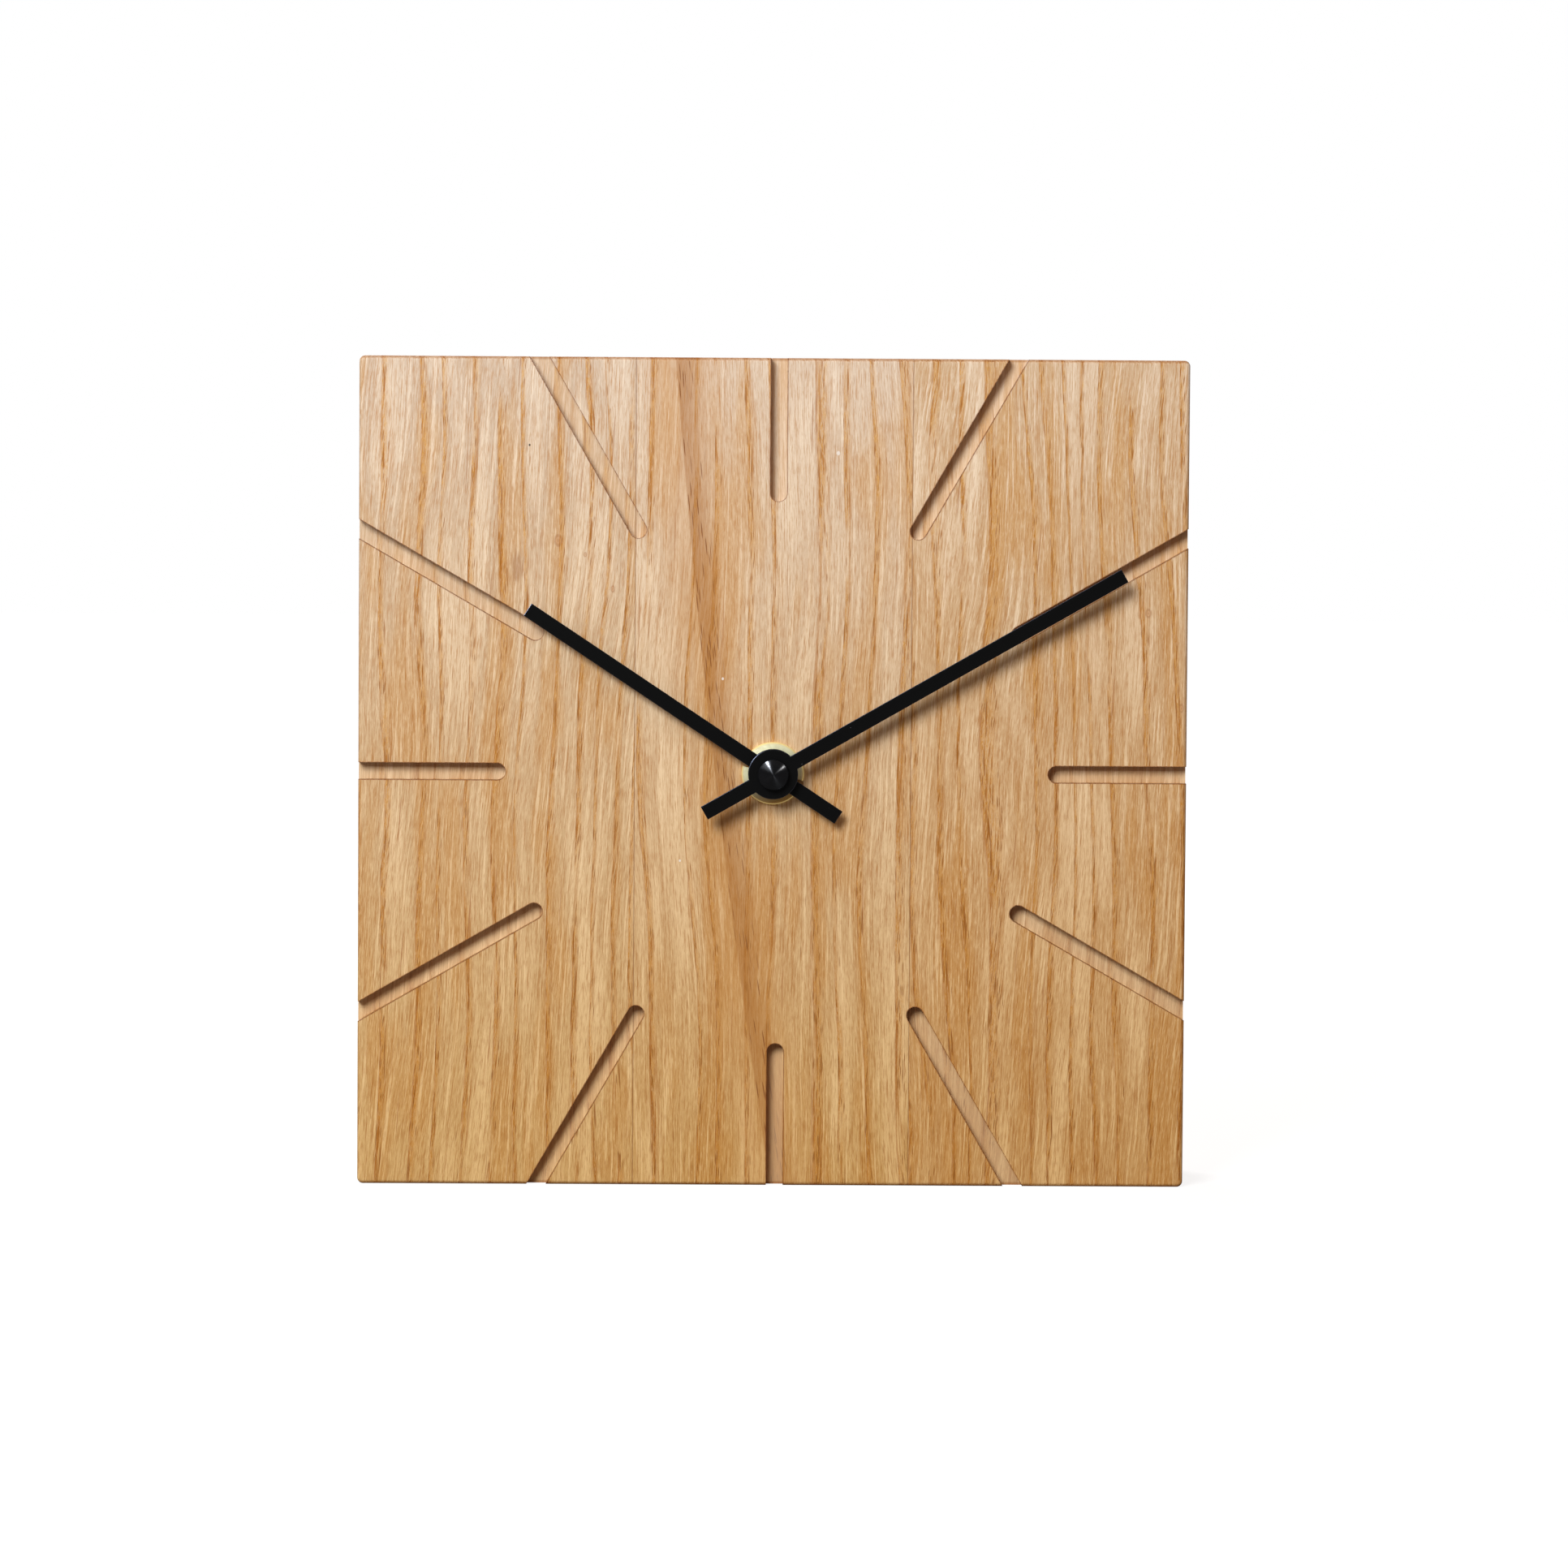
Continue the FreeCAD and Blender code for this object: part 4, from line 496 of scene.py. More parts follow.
# Foot and head colours of each stave; the paler head is a painted sheen from above.
oak_left = oak("oak_left", seed=1, colours=((193, 153, 96), (194, 171, 149)), rings=(6.5, -95.0, -0.01),
               ray_lean=-0.06, smudge=((-62.0, 149.5), 1.6, 4.5),
               knots=[((-52.0, 155.8), 0.8, 1.2), ((-45.5, 152.4), 0.3, 0.5), ((-39.6, 151.9), 0.3, 0.5),
                      ((-38.8, 144.2), 0.4, 0.7)],
               specks=[((-59.0, 178.7), 0.24, BLACK_SPECK)])
oak_middle = oak("oak_middle", seed=2, colours=((191, 149, 90), (206, 184, 162)), rings=(7.5, -6.5, 0.01),
                 ray_lean=-0.01, dark_band=(-23.8, 0.08, 0.0002),
                 specks=[((15.3, 177.2), 0.42, PALE_SPECK), ((2.9, 196.8), 0.25, BLACK_SPECK),
                         ((-12.2, 122.7), 0.28, PALE_SPECK), ((-22.3, 78.7), 0.24, PALE_SPECK)])
oak_right = oak("oak_right", seed=3, colours=((189, 144, 88), (197, 167, 134)), rings=(6.0, 34.0, 0.03),
                ray_lean=-0.075, knots=[((90.4, 139.1), 0.6, 0.9), ((98.6, 116.2), 0.5, 0.9)])
print("oak staves finished with 3 materials")

# %% [markdown]
# ## Paint, brass and moulded plastic
# The small parts need quieter finishes. Painted sheet and moulded plastic have a fine grain that breaks
# up their reflections, turned brass keeps the circles of the tool, and bright metal is scratched along
# its length. Each finish is a short function, so that one recipe can serve parts of different colour.
# %% Plastic, paint and metal
MOULD_CLOUDS = 6.0
PAINT_GRAIN = 0.15
DUST_SPACING = 2.4
DUST_COLOUR = (190, 190, 195)


def moulded(name, colour, roughness, grain_mm, depth_mm, specular):
    """Plastic from a spark-eroded mould: an even colour and a fine matt grain."""
    material, tree, shader = new_material(name)
    across, deep, up = place_in_mm(tree)
    grain = noise(tree, across / grain_mm, deep / grain_mm, up / grain_mm, detail=3.0)
    cloud = noise(tree, across / MOULD_CLOUDS, deep / MOULD_CLOUDS, up / MOULD_CLOUDS, detail=2.0)
    lighter = tuple(min(1.0, value * 1.25 + 0.004) for value in colour[:3]) + (1.0,)
    tree.links.new(mixed(tree, cloud.rises(0.3, 0.7), colour, lighter), shader.inputs["Base Color"])
    shader.inputs["Specular IOR Level"].default_value = specular
    connect(tree, grain * 0.2 + roughness, shader.inputs["Roughness"])
    raise_surface(tree, shader, grain, depth_mm)
    return material


def matt_paint(name, colour, edge_colour):
    """Matt black paint on sheet metal, rubbed thin on its edges, with a few specks of dust."""
    material, tree, shader = new_material(name)
    across, deep, up = place_in_mm(tree)
    grain = noise(tree, across / PAINT_GRAIN, deep / PAINT_GRAIN, up / PAINT_GRAIN, detail=2.0)
    near, chance = seeds(tree, across / DUST_SPACING, deep / DUST_SPACING, up / DUST_SPACING)
    dust = near.falls(0.03, 0.05) * chance.rises(0.55, 0.6)
    apart = tree.nodes.new("ShaderNodeSeparateXYZ")
    tree.links.new(tree.nodes.new("ShaderNodeTexCoord").outputs["Normal"], apart.inputs[0])
    rubbed = Field(tree, apart.outputs[1]).size().falls(0.90, 0.98)
    painted = mixed(tree, dust * 0.35, colour, linear(*DUST_COLOUR))
    tree.links.new(mixed(tree, rubbed, painted, edge_colour), shader.inputs["Base Color"])
    connect(tree, rubbed, shader.inputs["Metallic"])
    shader.inputs["Specular IOR Level"].default_value = 0.03
    connect(tree, grain * 0.2 + 0.28, shader.inputs["Roughness"])
    raise_surface(tree, shader, grain, depth_mm=0.004)
    return material


TOOL_MARK = 0.06
TOOL_MARK_LENGTH = 4.0
TARNISH = 1.3
RIM_BLUR = 0.1


def turned_metal(name, colours, axis, roughness, metallic, specular=0.5, anisotropy=0.5, rim=None):
    """Metal turned on a lathe, the axis from front to back. Colours are for its lower right, in painted
    shade, and its upper left, in painted light.

    A rim is the radius outside which the edge has a painted highlight, and the colour there.
    """
    material, tree, shader = new_material(name)
    across, deep, up = place_in_mm(tree)
    right, high = across - axis[0], up - axis[1]
    radius = (right * right + high * high).math("SQRT")
    rings = noise(tree, radius / TOOL_MARK, radius * 0.0, deep / TOOL_MARK_LENGTH, detail=2.0)
    tarnish = noise(tree, across / TARNISH, deep / TARNISH, up / TARNISH, detail=3.0)
    # Painted light at the upper left and painted shade at the lower right.
    painted_light_upper_left = (high - right * 0.5).rises(-8.0, 4.5)
    base = mixed(tree, painted_light_upper_left, colours[0], colours[1])
    base = mixed(tree, tarnish.rises(0.4, 0.8) * 0.25, base, colours[0])
    # A painted highlight on the outer rim, where a chamfer would catch the light.
    if rim:
        base = mixed(tree, radius.rises(rim[0], rim[0] + RIM_BLUR) * 0.8, base, rim[1])
    tree.links.new(base, shader.inputs["Base Color"])
    shader.inputs["Metallic"].default_value = metallic
    shader.inputs["Specular IOR Level"].default_value = specular
    shader.inputs["Anisotropic"].default_value = anisotropy
    connect(tree, rings * 0.15 + roughness, shader.inputs["Roughness"])
    tree.links.new(together(tree, right, deep * 0.0, high), shader.inputs["Tangent"])
    raise_surface(tree, shader, rings, depth_mm=0.002, strength=0.5)
    return material


SCRATCH_LENGTH = 5.0
SCRATCH_WIDTH = 0.08
STAINS = 3.0


def bright_metal(name, colour, roughness):
    """Rolled or drawn metal, faintly scratched along the part."""
    material, tree, shader = new_material(name)
    across, deep, up = place_in_mm(tree)
    scratch = noise(tree, across / SCRATCH_LENGTH, deep / SCRATCH_WIDTH, up / SCRATCH_WIDTH, detail=3.0)
    stain = noise(tree, across / STAINS, deep / STAINS, up / STAINS, detail=3.0)
    darker = tuple(value * 0.7 for value in colour[:3]) + (1.0,)
    tree.links.new(mixed(tree, stain.rises(0.4, 0.8), colour, darker), shader.inputs["Base Color"])
    shader.inputs["Metallic"].default_value = 1.0
    connect(tree, scratch * 0.25 + roughness, shader.inputs["Roughness"])
    raise_surface(tree, shader, scratch, depth_mm=0.003)
    return material


print("plastic, paint and metal ready")

# %% [markdown]
# ## Dry cell's sleeve
# The sleeve's print is the only drawing on the clock: a copper band at the plus end, a pale line beside
# it and the usual marks of the two ends. It could be painted as a picture and wrapped round, but it is so
# plain that a few steps do it: a band is a step along the cell's length, and a mark is made of bars, where
# two distances are both small. Only the side that faces out of the battery bay has the marks.
# %% Printed sleeve of the cell
CELL_PLASTIC = ((30, 34, 42), (42, 47, 56))
CELL_COPPER = (176, 112, 62)
CELL_LINE_COLOUR = (214, 214, 208)
CELL_MARK_COLOUR = (226, 224, 216)
CELL_METAL = (190, 190, 188)
CELL_COPPER_LENGTH = 13.0
CELL_LINE_PLACE = 13.6
CELL_LINE_HALF = 0.4
CELL_MARK_PLACE = 7.0
CELL_MARK_HALF = 1.95
CELL_STROKE_HALF = 0.5
CELL_BARE_RADIUS = 6.0
CELL_PLUS_END = 1.35
CELL_MINUS_END = 0.65
CELL_WEAR_LENGTH = 5.0
CELL_WEAR_WIDTH = 0.8
BAND_BLUR = 0.1
MARK_BLUR = 0.05


def within(distance, reach):
    """1 where a distance is under its reach either way, and 0 outside."""
    return distance.size().falls(reach - MARK_BLUR, reach)


def banded_cell(name, low, high):
    """A dry cell: bare metal ends, a dark sleeve with a copper band, and the marks of its two ends."""
    material, tree, shader = new_material(name)
    across, deep, up = place_in_mm(tree)
    length = (high.x - low.x) / MM
    along = across - low.x / MM
    aside = deep - (low.y + high.y) / 2 / MM
    above = up - (low.z + high.z) / 2 / MM
    wear = noise(tree, across / CELL_WEAR_LENGTH, deep / CELL_WEAR_WIDTH, up / CELL_WEAR_WIDTH, detail=3.0)
    behind = deep.rises(0.0, 0.5)
    from_plus = along - CELL_MARK_PLACE
    from_minus = along - (length - CELL_MARK_PLACE)
    bar = within(above, CELL_STROKE_HALF) * behind
    upright = within(from_plus, CELL_STROKE_HALF) * within(above, CELL_MARK_HALF) * behind
    plus = (bar * within(from_plus, CELL_MARK_HALF)).math("MAXIMUM", upright)
    minus = bar * within(from_minus, CELL_MARK_HALF)
    base = mixed(tree, wear.rises(0.4, 0.8) * 0.5, linear(*CELL_PLASTIC[0]), linear(*CELL_PLASTIC[1]))
    base = layered(tree, base, [
        (along.falls(CELL_COPPER_LENGTH, CELL_COPPER_LENGTH + BAND_BLUR), linear(*CELL_COPPER)),
        (within(along - CELL_LINE_PLACE, CELL_LINE_HALF), linear(*CELL_LINE_COLOUR)),
        (plus.math("MAXIMUM", minus), linear(*CELL_MARK_COLOUR)),
    ])

    radius = (aside * aside + above * above).math("SQRT")
    plus_end = along.falls(CELL_PLUS_END - BAND_BLUR, CELL_PLUS_END)
    minus_end = within(along - length, CELL_MINUS_END)
    inner = radius.falls(CELL_BARE_RADIUS - BAND_BLUR, CELL_BARE_RADIUS)
    bare = plus_end.math("MAXIMUM", minus_end) * inner
    tree.links.new(mixed(tree, bare, base, linear(*CELL_METAL)), shader.inputs["Base Color"])
    connect(tree, bare, shader.inputs["Metallic"])
    connect(tree, wear * 0.15 + 0.22, shader.inputs["Roughness"])
    raise_surface(tree, shader, wear, depth_mm=0.004)
    return material


print("sleeve of the cell ready")
# %% One finish for each slot of the record
HUB_AXIS = (HUB.x / MM, HUB_Z)
# Width of the painted highlight on the brass nut's rim.
RIM_HIGHLIGHT_WIDTH = 0.32
low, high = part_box("slotted_nut")
nut_radius = (high.z - low.z) / 2 / MM
# The brass and the black nut are painted lighter at the upper left and darker at the lower right, as painted
# light and shade.
finishes = {
    "brass": turned_metal("brass", (linear(118, 86, 32), linear(206, 202, 166)), HUB_AXIS, roughness=0.42,
                          metallic=0.6, rim=(nut_radius - RIM_HIGHLIGHT_WIDTH, linear(222, 200, 128))),
    "black_nut": turned_metal("black_nut", (linear(8, 8, 9), linear(10, 10, 12)), HUB_AXIS, roughness=0.16,
                              metallic=0.0, specular=0.05, anisotropy=0.9),
    "black_hands": matt_paint("black_hands", linear(6, 6, 6), linear(34, 36, 42)),
    "cell_jacket": banded_cell("cell_jacket", *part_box("battery_cell")),
}
for name, colour, roughness, grain_mm, depth_mm, specular in (
        ("black_rubber", (28, 28, 28), 0.70, 0.40, 0.010, 0.2),
        ("black_moulding", (26, 26, 27), 0.48, 0.12, 0.010, 0.4),
        ("white_moulding", (226, 226, 220), 0.40, 0.15, 0.004, 0.4),
        ("natural_moulding", (232, 228, 210), 0.38, 0.15, 0.003, 0.4),
        ("bobbin_moulding", (200, 60, 40), 0.40, 0.15, 0.004, 0.4),
        ("board_laminate", (34, 84, 52), 0.40, 0.20, 0.006, 0.4),
        ("black_resin", (22, 22, 24), 0.25, 0.80, 0.020, 0.4)):
    finishes[name] = moulded(name, linear(*colour), roughness, grain_mm, depth_mm, specular)
for name, colour, roughness in (
        ("soft_iron", (150, 148, 145), 0.38),
        ("enamelled_wire", (190, 104, 60), 0.28),
        ("tinned_can", (200, 200, 198), 0.25),
        ("contact_steel", (196, 194, 188), 0.24),
        ("steel_arbor", (180, 180, 182), 0.20),
        ("magnet", (90, 92, 96), 0.42)):
    finishes[name] = bright_metal(name, linear(*colour), roughness)
print("finishes:", len(finishes))
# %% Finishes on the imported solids
nodes_of_finish = {
    "black_rubber": ["rubber_gasket"],
    "brass": ["threaded_bush", "slotted_nut"],
    "black_moulding": ["movement_case", "rear_cover", "setting_knob"],
    "white_moulding": ["train_plate"],
    "soft_iron": ["stator_plate", "coil_core"],
    "bobbin_moulding": ["coil_bobbin"],
    "enamelled_wire": ["coil_winding"],
    "board_laminate": ["circuit_board"],
    "black_resin": ["clock_chip"],
    "tinned_can": ["quartz_crystal"],
    "cell_jacket": ["battery_cell"],
    "contact_steel": ["plus_contact", "minus_contact", "clutch_spring"],
    "steel_arbor": ["minute_arbor"],
    "black_hands": ["minute_hand", "hour_hand"],
    "black_nut": ["cap_nut"],
    "natural_moulding": ["hour_wheel", "motion_wheel", "setting_arbor", "rotor_pinion", "fifth_wheel",
                         "seconds_wheel", "third_wheel", "centre_wheel"],
    "magnet": ["rotor_magnet"],
}


def dress(node, material):
    """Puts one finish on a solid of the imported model."""
    slots = nodes[node].data.materials
    if len(slots):
        slots[0] = material
    else:
        slots.append(material)


dressed = {"stave_left": oak_left, "stave_middle": oak_middle, "stave_right": oak_right}
for finish, names in nodes_of_finish.items():
    for node in names:
        dressed[node] = finishes[finish]
for node, material in dressed.items():
    dress(node, material)
print("nodes dressed:", len(dressed), "of", len(nodes))

# %% [markdown]
# ## Turning a part
# The cap nut, the knob and the dry cell are round, as if turned on a lathe. Half of such a part's section
# is a short outline of radius and depth, which is spun round the axis. Corners sharper than a set angle
# stay crisp and everything else is shaded smooth, so that a cone shines like a cone, not like facets.
# %% Lathe
CRISP_ANGLE = math.radians(28)
LATHE_STEPS = 120
SEAM_REACH = 0.001 * MM
FRONT_TO_BACK = Vector((0, 1, 0))
LEFT_TO_RIGHT = Vector((1, 0, 0))


def lathe(name, outline, centre, axis, steps=LATHE_STEPS):
    """A mesh spun from (radius, distance along the axis) points, in metres."""
    sideways = Vector((0, 0, 1))
    shape = bmesh.new()
    verts = [shape.verts.new(centre + sideways * radius + axis * along) for radius, along in outline]
    edges = [shape.edges.new(pair) for pair in zip(verts, verts[1:])]
    bmesh.ops.spin(shape, geom=verts + edges, cent=centre, axis=axis, angle=2 * math.pi, steps=steps,
                   use_merge=True)
    bmesh.ops.remove_doubles(shape, verts=shape.verts, dist=SEAM_REACH)
    bmesh.ops.recalc_face_normals(shape, faces=shape.faces)
    mesh = bpy.data.meshes.new(name)
    shape.to_mesh(mesh)
    shape.free()
    return mesh


def crisp(mesh):
    """Smooth shading with crisp corners."""
    shape = bmesh.new()
    shape.from_mesh(mesh)
    for face in shape.faces:
        face.smooth = True
    for edge in shape.edges:
        edge.smooth = edge.is_manifold and edge.calc_face_angle(0.0) < CRISP_ANGLE
    shape.to_mesh(mesh)
    shape.free()


def show(name, mesh):
    """Puts a mesh in the scene as a piece of its own."""
    piece = bpy.data.objects.new(name, mesh)
    bpy.context.scene.collection.objects.link(piece)
    return piece


def hand_over(piece, body, node):
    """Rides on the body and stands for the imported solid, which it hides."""
    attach(piece, body)
    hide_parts(node)
    print(piece.name, "triangles:", sum(len(face.vertices) - 2 for face in piece.data.polygons))


print("lathe ready,", LATHE_STEPS, "steps round")

# %% [markdown]
# ## Ribs round a rim
# The cap nut's knurl is forty-four small ridges cut along its rim, and the knob's grip is twenty-four
# rounded ribs. One ridge repeated round a circle is a job for Geometry Nodes: points are laid out by their
# index, a ridge is set on each, turned to face outwards, and joined to the turned part. The same tree
# serves both parts, because the number, size and roundness of the ridges are inputs.
# %% Tree that sets ribs round a rim
def new_tree(name, whole_inputs, length_inputs):
    """A geometry tree with a mesh going in, named inputs and a mesh coming out."""
    tree = bpy.data.node_groups.new(name, "GeometryNodeTree")
    tree.interface.new_socket("Part", in_out="INPUT", socket_type="NodeSocketGeometry")
    for label in whole_inputs:
        tree.interface.new_socket(label, in_out="INPUT", socket_type="NodeSocketInt")
    for label in length_inputs:
        tree.interface.new_socket(label, in_out="INPUT", socket_type="NodeSocketFloat")
    tree.interface.new_socket("Result", in_out="OUTPUT", socket_type="NodeSocketGeometry")
    return tree, tree.nodes.new("NodeGroupInput").outputs, tree.nodes.new("NodeGroupOutput")


def finish_tree(tree, geometry, output, material):
    """Real meshes in place of copies, with their finish on."""
    real = tree.nodes.new("GeometryNodeRealizeInstances")
    tree.links.new(geometry, real.inputs[0])
    painted = tree.nodes.new("GeometryNodeSetMaterial")
    painted.inputs["Material"].default_value = material
    tree.links.new(real.outputs[0], painted.inputs["Geometry"])
    tree.links.new(painted.outputs[0], output.inputs[0])


RIB_LENGTHS = ["Rim radius", "Half width", "Height", "Length", "Middle", "Axis x", "Axis z"]


def rib_tree(material):
    """Ridges along the axis, set round the rim of a turned part."""
    tree, size, output = new_tree("ribs_round_a_rim", ["Ribs", "Rib sides"], RIB_LENGTHS)
    line = tree.nodes.new("GeometryNodeMeshLine")
    tree.links.new(size["Ribs"], line.inputs["Count"])
    index = Field(tree, tree.nodes.new("GeometryNodeInputIndex").outputs[0])
    angle = index * (2 * math.pi) / Field(tree, size["Ribs"])
    radius = Field(tree, size["Rim radius"])
    spot = together(tree, angle.math("SINE") * radius + Field(tree, size["Axis x"]), size["Middle"],
                    angle.math("COSINE") * radius + Field(tree, size["Axis z"]))
    placed = tree.nodes.new("GeometryNodeSetPosition")
    tree.links.new(line.outputs[0], placed.inputs["Geometry"])
    tree.links.new(spot, placed.inputs["Position"])
    ridge = tree.nodes.new("GeometryNodeMeshCylinder")
    ridge.inputs["Radius"].default_value = 1.0
    ridge.inputs["Depth"].default_value = 1.0
    tree.links.new(size["Rib sides"], ridge.inputs["Vertices"])
    laid = tree.nodes.new("GeometryNodeTransform")
    laid.inputs["Rotation"].default_value = (math.pi / 2, math.pi / 2, 0)
    tree.links.new(ridge.outputs[0], laid.inputs["Geometry"])
    shaped = tree.nodes.new("GeometryNodeTransform")
    tree.links.new(laid.outputs[0], shaped.inputs["Geometry"])
    tree.links.new(together(tree, size["Half width"], size["Length"], size["Height"]), shaped.inputs["Scale"])
    copies = tree.nodes.new("GeometryNodeInstanceOnPoints")
    tree.links.new(placed.outputs[0], copies.inputs["Points"])
    tree.links.new(shaped.outputs[0], copies.inputs["Instance"])
    tree.links.new(together(tree, 0.0, angle, 0.0), copies.inputs["Rotation"])
    joined = tree.nodes.new("GeometryNodeJoinGeometry")
    tree.links.new(copies.outputs[0], joined.inputs[0])
    tree.links.new(size["Part"], joined.inputs[0])
    finish_tree(tree, joined.outputs[0], output, material)
    return tree


def grown(name, base, tree, sizes):
    """Runs a tree on a base mesh and returns the result as a plain piece."""
    seedling = show(name + "_base", base)
    modifier = seedling.modifiers.new("grow", "NODES")
    modifier.node_group = tree
    for item in tree.interface.items_tree:
        if item.item_type == "SOCKET" and item.name in sizes:
            modifier[item.identifier] = sizes[item.name]
    seen = seedling.evaluated_get(bpy.context.evaluated_depsgraph_get())
    mesh = bpy.data.meshes.new_from_object(seen)
    mesh.name = name
    seedling.modifiers.clear()
    bpy.data.objects.remove(seedling)
    crisp(mesh)
    return show(name, mesh)


print("rib tree takes two counts and", len(RIB_LENGTHS), "lengths")

# %% [markdown]
# ## Cap nut
# The cap nut carries the brightest detail of the dial: a low turned cone inside a knurled rim. Its sizes
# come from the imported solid. The rim is turned to the bottom of the knurl, and four-sided ridges,
# half sunk into it, stand up to the full diameter.
# %% Cap nut
KNURLS = 44
KNURL_SIDES = 4
KNURL_HEIGHT = 0.22 * MM
CAP_BORE_RADIUS = 1.2 * MM
CAP_CHAMFER = 0.12 * MM
CAP_CONE_HEIGHT = 1.4 * MM
KNURL_WIDTH_SHARE = 0.42

low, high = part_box("cap_nut")
cap_radius, cap_back, cap_apex = (high.x - low.x) / 2, high.y, low.y
cap_rim = cap_apex + CAP_CONE_HEIGHT
core = cap_radius - KNURL_HEIGHT
outline = [(0, cap_back - CAP_CHAMFER), (CAP_BORE_RADIUS, cap_back - CAP_CHAMFER),
           (CAP_BORE_RADIUS, cap_back), (core - CAP_CHAMFER, cap_back), (core, cap_back - CAP_CHAMFER),
           (core, cap_rim + CAP_CHAMFER / 2), (core - CAP_CHAMFER, cap_rim), (0, cap_apex)]
cap_core = lathe("cap_core", outline, Vector((0, 0, HUB.z)), FRONT_TO_BACK)
knurl_pitch = 2 * math.pi * core / KNURLS
cap = grown("cap_nut_turned", cap_core, rib_tree(finishes["black_nut"]),
            {"Ribs": KNURLS, "Rib sides": KNURL_SIDES, "Rim radius": core,
             "Half width": knurl_pitch * KNURL_WIDTH_SHARE, "Height": KNURL_HEIGHT,
             "Length": cap_back - cap_rim - 2 * CAP_CHAMFER, "Middle": (cap_back + cap_rim) / 2,
             "Axis z": HUB.z})
hand_over(cap, "minute", "cap_nut")

# %% [markdown]
# ## Setting knob
# The knob at the back is moulded, with rounded ribs for a finger, a dished top and a small raised boss
# left by the mould. The ribs come from the same tree, now with twelve sides.
# %% Setting knob
KNOB_RIBS = 24
KNOB_RIB_SIDES = 12
KNOB_RIB_HEIGHT = 0.4 * MM
KNOB_EDGE = 0.35 * MM
KNOB_DISH_SHARE = 0.62
KNOB_DISH_DEPTH = 0.5 * MM
KNOB_BOSS_RADIUS = 1.1 * MM
KNOB_BOSS_TOP_SHARE = 0.8
KNOB_BOSS_FOOT_DEPTH_SHARE = 0.8
KNOB_RIB_WIDTH_SHARE = 0.32
KNOB_RIB_HEIGHT_SHARE = 0.98

low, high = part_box("setting_knob")
knob_x, knob_z = (low.x + high.x) / 2, (low.z + high.z) / 2
knob_radius, knob_front, knob_top = (high.z - low.z) / 2, low.y, high.y
core = knob_radius - KNOB_RIB_HEIGHT
dish = knob_radius * KNOB_DISH_SHARE
outline = [(0, knob_front), (core - KNOB_EDGE, knob_front), (core, knob_front + KNOB_EDGE),
           (core, knob_top - KNOB_EDGE), (core - KNOB_EDGE, knob_top), (dish, knob_top),
           (dish - KNOB_DISH_DEPTH / 2, knob_top - KNOB_DISH_DEPTH),
           (KNOB_BOSS_RADIUS, knob_top - KNOB_DISH_DEPTH * KNOB_BOSS_FOOT_DEPTH_SHARE),
           (KNOB_BOSS_RADIUS * KNOB_BOSS_TOP_SHARE, knob_top - KNOB_DISH_DEPTH / 2),
           (0, knob_top - KNOB_DISH_DEPTH / 2)]
knob_core = lathe("knob_core", outline, Vector((knob_x, 0, knob_z)), FRONT_TO_BACK)
knob_pitch = 2 * math.pi * core / KNOB_RIBS
knob = grown("setting_knob_ribbed", knob_core, rib_tree(finishes["black_moulding"]),
             {"Ribs": KNOB_RIBS, "Rib sides": KNOB_RIB_SIDES, "Rim radius": core,
              "Half width": knob_pitch * KNOB_RIB_WIDTH_SHARE,
              "Height": KNOB_RIB_HEIGHT * KNOB_RIB_HEIGHT_SHARE,
              "Length": knob_top - knob_front - 2 * KNOB_EDGE,
              "Middle": (knob_front + knob_top) / 2, "Axis x": knob_x, "Axis z": knob_z})
hand_over(knob, "setting", "setting_knob")

# %% [markdown]
# ## Coil winding
# The motor's coil is hair-thin enamelled wire laid turn by turn on the bobbin. Only the outer layer can be
# seen, so one helix of wire is laid over a plain sleeve. Its path and its round section are curves in the
# tree, and the number of turns follows from the length of the winding and the thickness of the wire.
# %% Coil winding
WIRE_DIAMETER = 0.22 * MM
WIRE_SIDES = 6
STEPS_PER_TURN = 28
SLEEVE_STEPS = 48
HELIX_LENGTHS = ["Turns", "Path radius", "Wire radius", "Length", "Start x", "Axis y", "Axis z"]


def helix_tree(material):
    """A wire wound in a helix along x, over the part that goes in."""
    tree, size, output = new_tree("wire_helix", ["Steps per turn", "Wire sides"], HELIX_LENGTHS)
    spiral = tree.nodes.new("GeometryNodeCurveSpiral")
    for label, source in (("Resolution", "Steps per turn"), ("Rotations", "Turns"), ("Height", "Length"),
                          ("Start Radius", "Path radius"), ("End Radius", "Path radius")):
        tree.links.new(size[source], spiral.inputs[label])
    laid = tree.nodes.new("GeometryNodeTransform")
    laid.inputs["Rotation"].default_value = (0, math.pi / 2, 0)
    tree.links.new(spiral.outputs[0], laid.inputs["Geometry"])
    start = together(tree, size["Start x"], size["Axis y"], size["Axis z"])
    tree.links.new(start, laid.inputs["Translation"])
    section = tree.nodes.new("GeometryNodeCurvePrimitiveCircle")
    tree.links.new(size["Wire sides"], section.inputs["Resolution"])
    tree.links.new(size["Wire radius"], section.inputs["Radius"])
    wire = tree.nodes.new("GeometryNodeCurveToMesh")
    wire.inputs["Fill Caps"].default_value = True
    tree.links.new(laid.outputs[0], wire.inputs["Curve"])
    tree.links.new(section.outputs[0], wire.inputs["Profile Curve"])
    joined = tree.nodes.new("GeometryNodeJoinGeometry")
    tree.links.new(wire.outputs[0], joined.inputs[0])
    tree.links.new(size["Part"], joined.inputs[0])
    finish_tree(tree, joined.outputs[0], output, material)
    return tree


